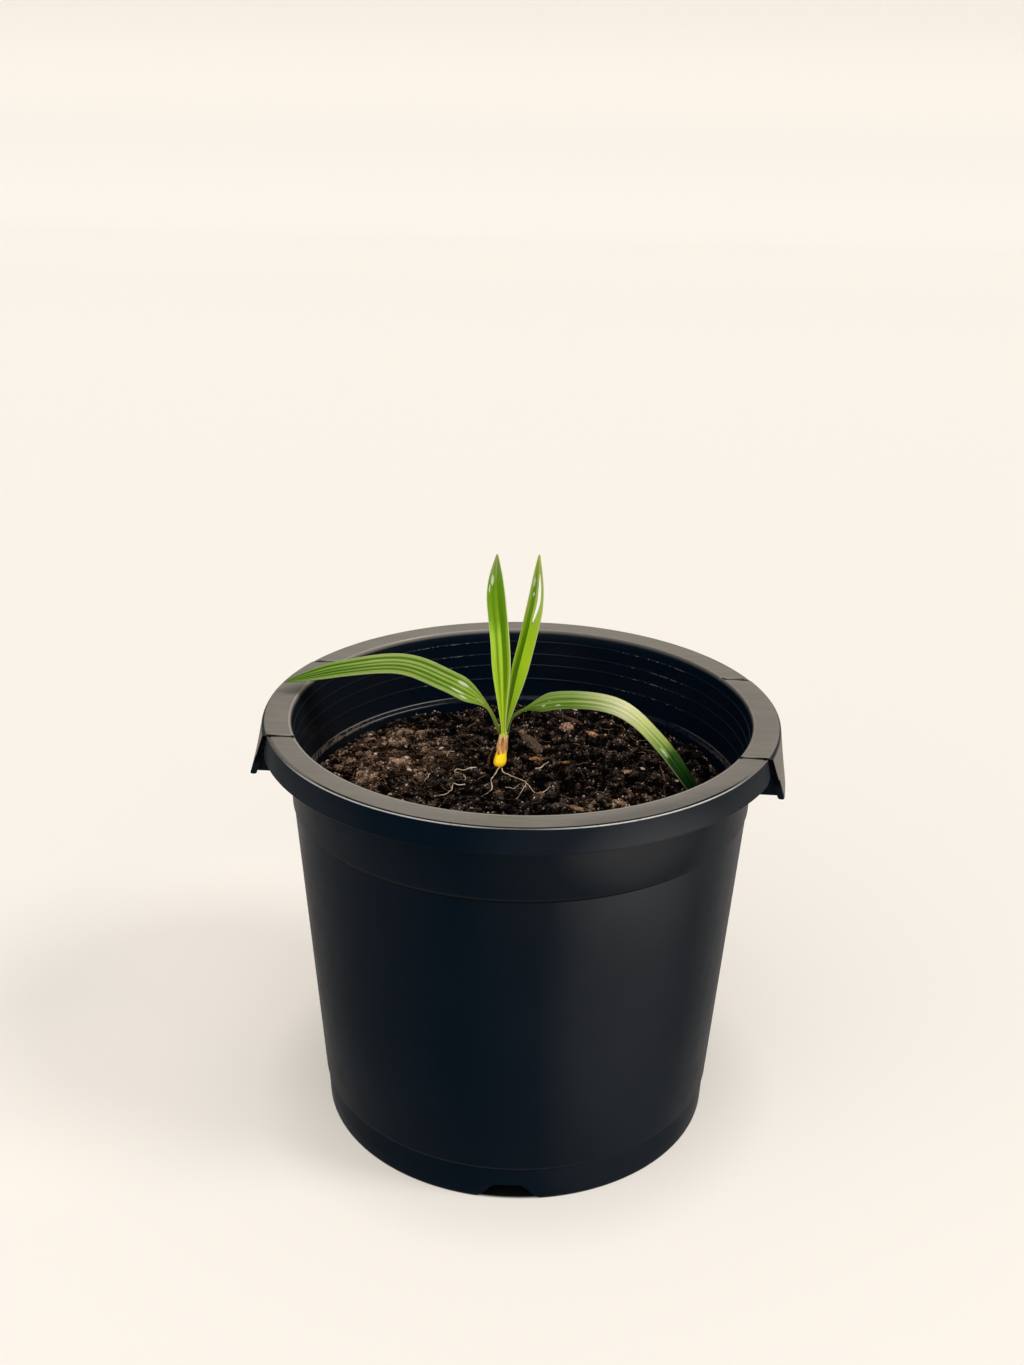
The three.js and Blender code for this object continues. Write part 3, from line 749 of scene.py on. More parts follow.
def buildSoil():
    rings = [(mix["edge"] * k / mix["rings"], mix["level"]) for k in range(mix["rings"] + 1)]
    depth = pot["floorTop"] + pot["pieceGap"]
    corner = pot["floorTop"] + pot["insideCorner"]
    wall = pot["wall"] + mix["clear"]
    profile = rings + [
        (outsideRadius(pot["knee"]) - wall, pot["knee"]),
        (outsideRadius(corner) - wall, corner),
        (outsideRadius(corner) - wall - pot["insideCorner"], depth),
        (0, depth),
    ]
    mesh = spun(profile, mix["steps"])
    tone = mesh.verts.layers.float.new("tone")
    dry = mesh.verts.layers.float.new("dry")
    for vert in mesh.verts:
        if vert.co.z > mix["level"] - 0.01:
            vert.co.z, vert[tone] = soilShape(vert.co.x, vert.co.y)
            vert[dry] = dryness(vert.co.x, vert.co.y)
    return mesh


def joinedCopies(name, shape, places, finish, values):
    # one mesh of many small copies: shape is (corners, faces) and places are 4 x 4 matrices
    corners, faces = shape
    corners = np.hstack([np.array(corners), np.ones((len(corners), 1))])
    faces = np.array(faces)
    matrices = np.array(places)
    everyCorner = np.einsum("nij,kj->nki", matrices, corners)[:, :, :3].reshape(-1, 3) * millimetre
    everyFace = (faces[None] + len(corners) * np.arange(len(places))[:, None, None]).reshape(-1, faces.shape[1])
    data = bpy.data.meshes.new(name)
    data.from_pydata(everyCorner.tolist(), [], everyFace.tolist())
    for label, amounts in values.items():
        data.attributes.new(label, "FLOAT", "POINT").data.foreach_set("value", np.repeat(amounts, len(corners)))
    placePiece(name, data, finish, [], False)


def shapeOf(mesh):
    bmesh.ops.triangulate(mesh, faces=mesh.faces)
    mesh.verts.ensure_lookup_table()
    shape = [tuple(v.co) for v in mesh.verts], [[v.index for v in f.verts] for f in mesh.faces]
    mesh.free()
    return shape


def crumbShape(seed, jitter, angular):
    mesh = bmesh.new()
    if angular:
        bmesh.ops.create_cube(mesh, size=1.4)
    else:
        bmesh.ops.create_icosphere(mesh, subdivisions=1, radius=1)
    for vert in mesh.verts:
        vert.co *= 1 + jitter * noise.noise(vert.co * 2.3 + Vector((seed * 3.1, seed * 2, 0)))
    return shapeOf(mesh)


def somewhere(draw, edge):
    # an even spread over the round surface
    radius = edge * draw.random() ** 0.5
    turn = draw.uniform(0, tau)
    return radius * cos(turn), radius * sin(turn)


crumbs = {
    # name: count, size, how far it stands up, width as a part of the length, seed, angular
    "grit": (16000, (0.28, 0.62), 0.35, (0.5, 1), 13, True),
    "dust": (9000, (0.35, 0.8), 0.3, (0.4, 1), 3, False),
    "fine": (5500, (0.6, 1.2), 0.2, (0.3, 0.9), 5, False),
    "coarse": (1300, (1.1, 2.2), 0.1, (0.3, 0.8), 8, False),
}


def scatterCrumbs(name, count, sizes, stand, widths, seed, angular, finish):
    draw = Random(seed)
    places, tones, dry = [], [], []
    while len(places) < count:
        x, y = somewhere(draw, mix["edge"] - 1)
        size = draw.uniform(*sizes) * draw.uniform(0.7, 1)
        height, crest = soilShape(x, y)
        # none on the stem's foot, no large ones near it, and fewer in the hollows
        near = fromFoot(x, y)
        if near < 5.5 or (near < 46 and size > 1.3) or crest < draw.random() * 0.75:
            continue
        scale = Matrix.Diagonal((size, size * draw.uniform(*widths), size * draw.uniform(0.35, 0.8), 1))
        spin = Matrix.Rotation(draw.uniform(0, tau), 4, "Z") @ Matrix.Rotation(draw.gauss(0, 0.6), 4, "X")
        spot = Matrix.Translation((x, y, height + size * stand))
        places.append(spot @ spin @ scale)
        # painted shade: crumbs in the hollows are darker
        tones.append(min(max(draw.random() * 0.95 + (crest - 0.5) * 0.6, 0), 1))
        dry.append(dryness(x, y))
    values = {"tone": tones, "dry": dry}
    joinedCopies("mix_crumbs_" + name, crumbShape(seed, 0.55, angular), places, finish, values)


def soilFinish():
    # nearly black where it is moist, brown where it is dry, and darker in the hollows as a painted shade
    paint = Paint("growingMix", Specular_IOR_Level=0.03)
    tone, dry = paint.attribute("tone"), paint.attribute("dry")
    specks = paint.grain(950, 3, 0.75)
    crest = tone * 1.35 - 0.17 + (specks - 0.5) * 1.15
    moist = crest.ramp((0.42, (0.0004, 0.0004, 0.0004)), (0.64, (0.0036, 0.0028, 0.0024)), (0.9, (0.06, 0.044, 0.036)))
    parched = crest.ramp((0.4, (0.0007, 0.0006, 0.0005)), (0.62, (0.027, 0.0158, 0.01)), (0.9, (0.44, 0.285, 0.195)))
    return paint.finish(paint.mix(dry, moist, parched), 0.95, specks, 0.0008)


def crumbFinish():
    paint = Paint("barkCrumbs", Specular_IOR_Level=0.04)
    tone, dry = paint.attribute("tone"), paint.attribute("dry")
    specks = paint.grain(700, 3, 0.7)
    moist = tone.ramp(
        (0.0, (0.0004, 0.0004, 0.0004)), (0.56, (0.0022, 0.0018, 0.0016)), (0.8, (0.026, 0.0192, 0.0152)),
        (0.94, (0.1, 0.07, 0.051)), (1.0, (0.62, 0.45, 0.33)))
    parched = tone.ramp(
        (0.0, (0.0007, 0.0006, 0.0005)), (0.34, (0.009, 0.0055, 0.0037)), (0.64, (0.12, 0.071, 0.045)),
        (0.91, (0.4, 0.255, 0.17)), (1.0, (0.92, 0.72, 0.54)))
    colour = paint.mix(dry, moist, parched)
    colour = paint.mix(specks.between(0.4, 0.75) * 0.5, colour, (0.003, 0.002, 0.0016))
    return paint.finish(colour, 0.92, specks, 0.0004)


growingMix = soilFinish()
barkCrumbs = crumbFinish()
finishPiece("mix_surface", buildSoil(), growingMix, ["soil"])
for name, settings in crumbs.items():
    scatterCrumbs(name, *settings, barkCrumbs)
print("growing mix modelled")


# ---- strands: roots and fibres are thin tubes along a route

def strandMesh(mesh, route, radius, sides=6, taper=0.35):
    # a ring drawn along the route, thinner toward its end
    points = [Vector(p) for p in route]
    last = len(points) - 1
    ring = bmesh.ops.create_circle(mesh, cap_ends=True, segments=sides, radius=1)["verts"]
    edges = ring[0].link_faces[0].edges[:]
    before = Matrix()
    for k, point in enumerate(points):
        ahead = (points[min(k + 1, last)] - points[max(k - 1, 0)]).normalized()
        across = ahead.cross(Vector((0, 0, 1))).normalized()
        turn = Matrix((across, across.cross(ahead), -ahead)).transposed().to_4x4()
        thin = radius * blend(1, taper, (k / last) ** 1.5)
        here = Matrix.Translation(point) @ turn @ Matrix.Scale(thin, 4)
        if k:
            drawn = bmesh.ops.extrude_edge_only(mesh, edges=edges)["geom"]
            ring, edges = vertsOf(drawn), edgesOf(drawn)
        bmesh.ops.transform(mesh, matrix=here @ before.inverted(), verts=ring)
        before = here
    bmesh.ops.edgeloop_fill(mesh, edges=edges)
    bmesh.ops.recalc_face_normals(mesh, faces=mesh.faces)


def smoothRoute(points, steps):
    # a curve through the points, cut into equal steps
    points = np.array(points, float)
    padded = np.vstack([2 * points[0] - points[1], points, 2 * points[-1] - points[-2]])
    dense = []
    for a, b, c, d in zip(padded, padded[1:], padded[2:], padded[3:]):
        for t in np.linspace(0, 1, 120, endpoint=False):
            slopeB, slopeC = 0.5 * (c - a), 0.5 * (d - b)
            dense.append(
                (2 * t ** 3 - 3 * t ** 2 + 1) * b + (t ** 3 - 2 * t ** 2 + t) * slopeB
                + (3 * t ** 2 - 2 * t ** 3) * c + (t ** 3 - t ** 2) * slopeC)
    dense = np.array(dense + [points[-1]])
    length = np.concatenate([[0], np.cumsum(np.linalg.norm(np.diff(dense, axis=0), axis=1))])
    where = np.linspace(0, length[-1], steps + 1)
    return np.stack([np.interp(where, length, dense[:, k]) for k in range(dense.shape[1])], axis=1)


def onSoil(route, lift):
    # lies over the crumbs in a smooth line
    heights = [soilHeight(x, y) for x, y in route]
    heights = [max(heights[max(k - 2, 0):k + 3]) for k in range(len(heights))]
    heights = [np.mean(heights[max(k - 3, 0):k + 4]) for k in range(len(heights))]
    return [(x, y, height + lift) for (x, y), height in zip(route, heights)]


roots = {
    # name: thickness, route
    "root_left": (0.42, [(-16.3, 26.8), (-18.5, 17), (-20.2, 6.1), (-18.3, -4.3), (-21.1, -12), (-24.4, -18)]),
    "root_right": (0.38, [(-14.6, 26), (-13.3, 20), (-8.2, 15), (-0.3, 8.3), (5.7, -1.6), (11.1, -10.6), (16.1, -7.4),
                          (19.8, 0)]),
    "root_branch": (0.25, [(3.8, 1.4), (3, -4), (0.4, -11), (-1.7, -15.7)]),
    "stray_root_a": (0.36, [(-32, 22.5), (-38.5, 21), (-44.4, 22.5), (-46, 18), (-43.5, 14)]),
    "stray_root_b": (0.3, [(-39.5, 14), (-37.5, 8), (-37, 2.6)]),
    "stray_root_c": (0.3, [(-37, 1), (-41, -2.4), (-44.6, -1.8), (-44.5, -8), (-46.5, -12), (-50, -17), (-55, -22)]),
    "stray_root_hook": (0.36, [(-53, 38.5), (-54, 43), (-52.5, 47.5), (-49.5, 50.5)]),
    "stray_root_right": (0.45, [(7.5, 31), (11, 32), (14, 36), (16.5, 40)]),
    "stray_root_d": (0.24, [(-62, 10), (-63, 3), (-66, -4)]),
    "stray_root_e": (0.2, [(-10, -1), (-4, -4), (-1, 3)]),
}
rootWander = 0.5

fibres = {
    # name: count, length, thickness as a part of the length, sideways bend, seed
    "curved": (420, (3.5, 11), 0.019, 0.3, 11),
    "hooked": (300, (3, 8), 0.026, -0.55, 12),
    "straight": (380, (4, 12), 0.016, 0.08, 14),
}


def fibreShape(thickness, bend):
    mesh = bmesh.new()
    strandMesh(mesh, [(k / 4, bend * (k / 4) ** 2, 0.05 * sin(k * 1.9)) for k in range(5)], thickness, 3, 0.5)
    return shapeOf(mesh)


def scatterFibres(name, count, length, thickness, bend, seed, finish):
    draw = Random(seed)
    places, tones = [], []
    while len(places) < count:
        x, y = somewhere(draw, mix["edge"] - 6)
        if draw.random() < 0.45:  # nearly half of them lie in the dry patch on the left
            x, y = draw.gauss(-86, 22), draw.gauss(28, 26)
        if hypot(x, y) > mix["edge"] - 12 or fromFoot(x, y) < 12:
            continue
        heading, reach = draw.uniform(0, tau), draw.uniform(*length)
        endX, endY = x + reach * cos(heading), y + reach * sin(heading)
        start = Vector((x, y, soilHeight(x, y) + 0.3 + 0.6 * draw.random()))
        end = Vector((endX, endY, soilHeight(endX, endY) + 0.3 + 0.6 * draw.random()))
        ahead = end - start
        side = Vector((0, 0, 1)).cross(ahead).normalized() * ahead.length
        above = ahead.cross(side).normalized() * ahead.length
        places.append(Matrix.Translation(start) @ Matrix((ahead, side, above)).transposed().to_4x4())
        tones.append(draw.random())
    joinedCopies("mix_fibres_" + name, fibreShape(thickness, bend), places, finish, {"tone": tones})


def rootFinish():
    paint = Paint("paleRoot", Specular_IOR_Level=0.3)
    grain = paint.grain(160, 4, 0.6)
    colour = grain.ramp((0.3, (0.3, 0.19, 0.11)), (0.48, (0.68, 0.51, 0.36)), (0.66, (0.92, 0.77, 0.6)))
    buried = paint.grain(95, 3, 0.6).between(0.54, 0.64)
    colour = paint.mix(buried * 0.8, colour, (0.055, 0.034, 0.022))
    return paint.finish(colour, 0.75, grain, 0.0002)


def fibreFinish():
    paint = Paint("coirFibre", Specular_IOR_Level=0.15)
    tone = paint.attribute("tone")
    colour = tone.ramp((0.0, (0.03, 0.016, 0.009)), (0.6, (0.11, 0.06, 0.034)), (0.9, (0.28, 0.17, 0.1)))
    return paint.finish(colour, 0.8)


def buildRoot(radius, points):
    mesh = bmesh.new()
    seed = points[0][0]
    route = []
    for x, y in smoothRoute(points, 34):
        besideX, besideY = noise.noise(Vector((x / 2, y / 2, seed))), noise.noise(Vector((y / 2, seed, x / 2)))
        route.append((x + rootWander * besideX, y + rootWander * besideY))
    strandMesh(mesh, onSoil(route, radius * 0.8 + 0.25), radius, 8)
    return mesh


paleRoot = rootFinish()
for name, root in roots.items():
    nodes = [name] if name in ("root_left", "root_right") else []
    finishPiece("pale_" + name, buildRoot(*root), paleRoot, nodes)
coirFibre = fibreFinish()
for name, settings in fibres.items():
    scatterFibres(name, *settings, coirFibre)
print("roots and fibres modelled")


# ---- bits of bark and seed that lie on the mix

bits = {
    # name: x, y, half sizes, heading in degrees, colour, sharper ends
    "seed_husk": (7.7, 42, (5.2, 1.9, 1.5), 5, (0.42, 0.19, 0.06), 0.9),
    "small_husk": (28.4, 41, (3.4, 1.4, 1.1), 0, (0.34, 0.15, 0.055), 0.9),
    "round_nut": (25.8, 94.6, (5.2, 4.6, 4.0), 20, (0.38, 0.22, 0.145), 0.2),
    "bark_splinter": (45.5, 84, (8, 1.9, 1.6), -42, (0.5, 0.27, 0.15), 0.6),
    "tan_chip": (69, 30, (3.6, 2.0, 1.4), 10, (0.52, 0.3, 0.17), 0.4),
    "pale_chip": (80, 38, (2.4, 1.0, 0.8), -35, (0.62, 0.46, 0.28), 0.4),
    "edge_chip": (38, -31, (6.4, 1.7, 1.2), -32, (0.33, 0.18, 0.09), 0.7),
    "tan_lump": (-13.7, -14, (1.9, 1.6, 1.4), 30, (0.19, 0.11, 0.06), 0.2),
    "brown_lump": (14.5, -13, (2.5, 1.9, 1.6), 0, (0.26, 0.15, 0.085), 0.3),
    "bark_log": (2.5, 68, (16.5, 4.4, 3.6), -62, (0.13, 0.078, 0.053), 0.35),
    "log_end": (-5.0, 84.5, (2.8, 2.4, 2.2), 0, (0.3, 0.17, 0.1), 0.2),
    "white_grit": (-81, 29, (2.0, 1.5, 1.2), 0, (0.62, 0.55, 0.46), 0.2),
    "orange_scale": (-66, 12, (2.9, 1.2, 0.8), -10, (0.44, 0.22, 0.08), 0.6),
    "left_chip": (-105, 46, (2.2, 1.4, 1.0), 40, (0.42, 0.23, 0.12), 0.3),
    "twig_brown": (30, 108, (9.5, 2.2, 1.6), -38, (0.075, 0.032, 0.02), 0.5),
    "twig_thin": (42, 68, (13, 0.6, 0.5), -22, (0.13, 0.07, 0.04), 0.6),
    "twig_right": (94, 29, (14.5, 0.5, 0.5), -82, (0.15, 0.09, 0.06), 0.6),
}


def buildBit(halfSizes, sharp, seed):
    mesh = bmesh.new()
    bmesh.ops.create_icosphere(mesh, subdivisions=4, radius=1)
    for vert in mesh.verts:
        spot = Vector(vert.co)
        pinch = 1 - sharp * 0.75 * abs(spot.x) ** 2.5
        rough = 1 + 0.19 * noise.fractal(spot * 2.4 + Vector((seed, 0, seed)), 0.7, 2.3, 6)
        vert.co = Vector((spot.x * halfSizes[0], spot.y * halfSizes[1] * pinch, spot.z * halfSizes[2] * pinch)) * rough
    return mesh


def barkFinish(name, colour):
    paint = Paint(name + "Bark", Specular_IOR_Level=0.3)
    lines = paint.grain(480, 5, 0.7)
    dark = tuple(c * 0.12 for c in colour)
    shade = paint.mix(lines.between(0.36, 0.6), dark, tuple(min(1, c * 1.3) for c in colour))
    return paint.finish(shade, 0.75, lines, 0.0009)


for seed, (name, (x, y, halfSizes, heading, colour, sharp)) in enumerate(bits.items()):
    mesh = buildBit(halfSizes, sharp, seed)
    bmesh.ops.rotate(mesh, verts=mesh.verts, cent=(0, 0, 0), matrix=Matrix.Rotation(radians(heading), 3, "Z"))
    bmesh.ops.translate(mesh, verts=mesh.verts, vec=(x, y, soilHeight(x, y) + halfSizes[2] * 0.5))
    finishPiece(name, mesh, barkFinish(name, colour), [])
print("bark and seed laid on the mix")


# ---- stem, sheath and scale

stem = {
    "foot": (-16.9, 31, 228), "fork": (3, 0.2, 23.4), "steps": 64,
    "profile": [(0, 0.3), (2.3, 0.3), (3.3, 0.7), (4.0, 1.8), (4.25, 3.4), (4.15, 5.2), (3.85, 7.4), (3.45, 9.8),
                (3.1, 12.2), (2.75, 15), (2.45, 18), (2.3, 20.5), (2.35, 22), (2.4, 23.6), (2.2, 24.8), (1.5, 25.6),
                (0, 25.9)],
    "sheath": [(3.65, 12.6), (3.5, 14.6), (3.25, 17), (3.0, 19.6), (2.95, 22.6)],
}


def lean(mesh):
    for vert in mesh.verts:
        up = vert.co.z / stem["fork"][2]
        vert.co += Vector((stem["fork"][0] * up, stem["fork"][1] * up, 0))
    bmesh.ops.translate(mesh, verts=mesh.verts, vec=stem["foot"])
    return mesh


def buildStem():
    mesh = spun(stem["profile"], stem["steps"])
    for vert in mesh.verts:
        ripple = noise.fractal(Vector((vert.co.x / 2.4, vert.co.y / 2.4, vert.co.z / 9)), 1.0, 2.0, 2)
        vert.co.xy *= 1 + 0.05 * ripple
    bmesh.ops.subdivide_edges(mesh, edges=mesh.edges[:], cuts=1, use_grid_fill=True, smooth=0.0)
    return lean(mesh)


def buildSheath():
    mesh = spun(smoothRoute(stem["sheath"], 16), 72)
    low, high = stem["sheath"][0][1], stem["sheath"][-1][1]
    for vert in mesh.verts:
        turn = atan2(vert.co.y, vert.co.x)
        up = min(max((vert.co.z - low) / (high - low), 0), 1)
        rag = noise.fractal(Vector((2.6 * cos(turn), 2.6 * sin(turn), 1.5)), 0.9, 2.2, 3)
        teeth = 1.5 * noise.noise(Vector((7 * cos(turn), 7 * sin(turn), 4)))
        vert.co.z += (1 - up) ** 1.5 * (3.4 * rag + 1.7 * teeth + 1.6 * sin(turn - 0.4)) + up ** 4 * 1.8 * rag
        pleat = 0.12 * sin(turn * 11 + 3 * rag) + 0.08 * rag
        vert.co.xy *= 1 + (pleat + 0.1 * (1 - up) ** 3) / 3.2
    bmesh.ops.recalc_face_normals(mesh, faces=mesh.faces)
    return lean(mesh)


def buildDryScale():
    mesh = bmesh.new()
    bmesh.ops.create_grid(mesh, x_segments=6, y_segments=18, size=1)
    for vert in mesh.verts:
        across, along = vert.co.x, (vert.co.y + 1) / 2
        width = 1.0 * blend(1, 0.35, along ** 1.5)
        x = blend(-7.2, -4.9, along) - sin(pi * along) + across * width
        y = blend(1, -0.2, along) - 0.35 * (1 - across * across) + 0.2 * noise.noise(vert.co * 3)
        vert.co = Vector((x, y, blend(0.2, 11, along))) + Vector(stem["foot"])
    return mesh


def stemFinish():
    paint = Paint("waxyYellow", Specular_IOR_Level=0.5)
    height = paint.axis(2)
    blotch = paint.grain(260, 3, 0.55)
    lines = paint.grain(420, 3, 0.6, paint.stretched(1, 1, 0.12))
    climb = (height * 1000 - stem["foot"][2]) * 0.0357 + (lines - 0.5) * 0.07
    colour = climb.ramp(
        (0.0, (0.2, 0.08, 0.015)), (0.06, (0.62, 0.33, 0.01)), (0.17, (0.96, 0.64, 0.014)), (0.34, (0.98, 0.7, 0.02)),
        (0.48, (0.88, 0.46, 0.02)), (0.62, (0.6, 0.4, 0.05)), (0.76, (0.42, 0.42, 0.05)), (0.9, (0.38, 0.46, 0.04)))
    colour = paint.mix(blotch.between(0.55, 0.75) * 0.35, colour, (0.7, 0.36, 0.01))
    # painted shade: browner on the side that faces left
    sideways = paint.axis(0, paint.add("NewGeometry", output="Normal"))
    colour = paint.mix(sideways.between(-0.45, -0.9) * 0.7, colour, (0.62, 0.27, 0.01))
    paint.glow(colour, 0.6)  # painted glow for the light that shows through the flesh
    return paint.finish(colour, 0.42 + lines * 0.15, lines, 0.00025)


def sheathFinish():
    paint = Paint("drySheath", Specular_IOR_Level=0.25)
    lines = paint.grain(520, 4, 0.65, paint.stretched(1, 1, 0.1))
    patch = paint.grain(170, 3, 0.6)
    colour = lines.ramp((0.38, (0.24, 0.085, 0.015)), (0.5, (0.68, 0.33, 0.1)), (0.62, (0.95, 0.74, 0.5)))
    colour = paint.mix(patch.between(0.5, 0.7) * 0.7, colour, (0.58, 0.25, 0.04))
    # painted glow for the light that shows through the sheath
    paint.glow(colour, 0.3)
    return paint.finish(colour, 0.7, lines, 0.0005)


drySheath = sheathFinish()
sheathWall = [("SOLIDIFY", {"thickness": 0.0003, "offset": 0.0})]
finishPiece("stem_base", buildStem(), stemFinish(), ["stem"])
finishPiece("papery_sheath", buildSheath(), drySheath, ["sheath"], modifiers=sheathWall)
looseScale = barkFinish("looseScale", (0.15, 0.07, 0.03))
finishPiece("loose_scale", buildDryScale(), looseScale, ["dry_scale"], modifiers=sheathWall)
print("stem modelled")


# ---- leaves

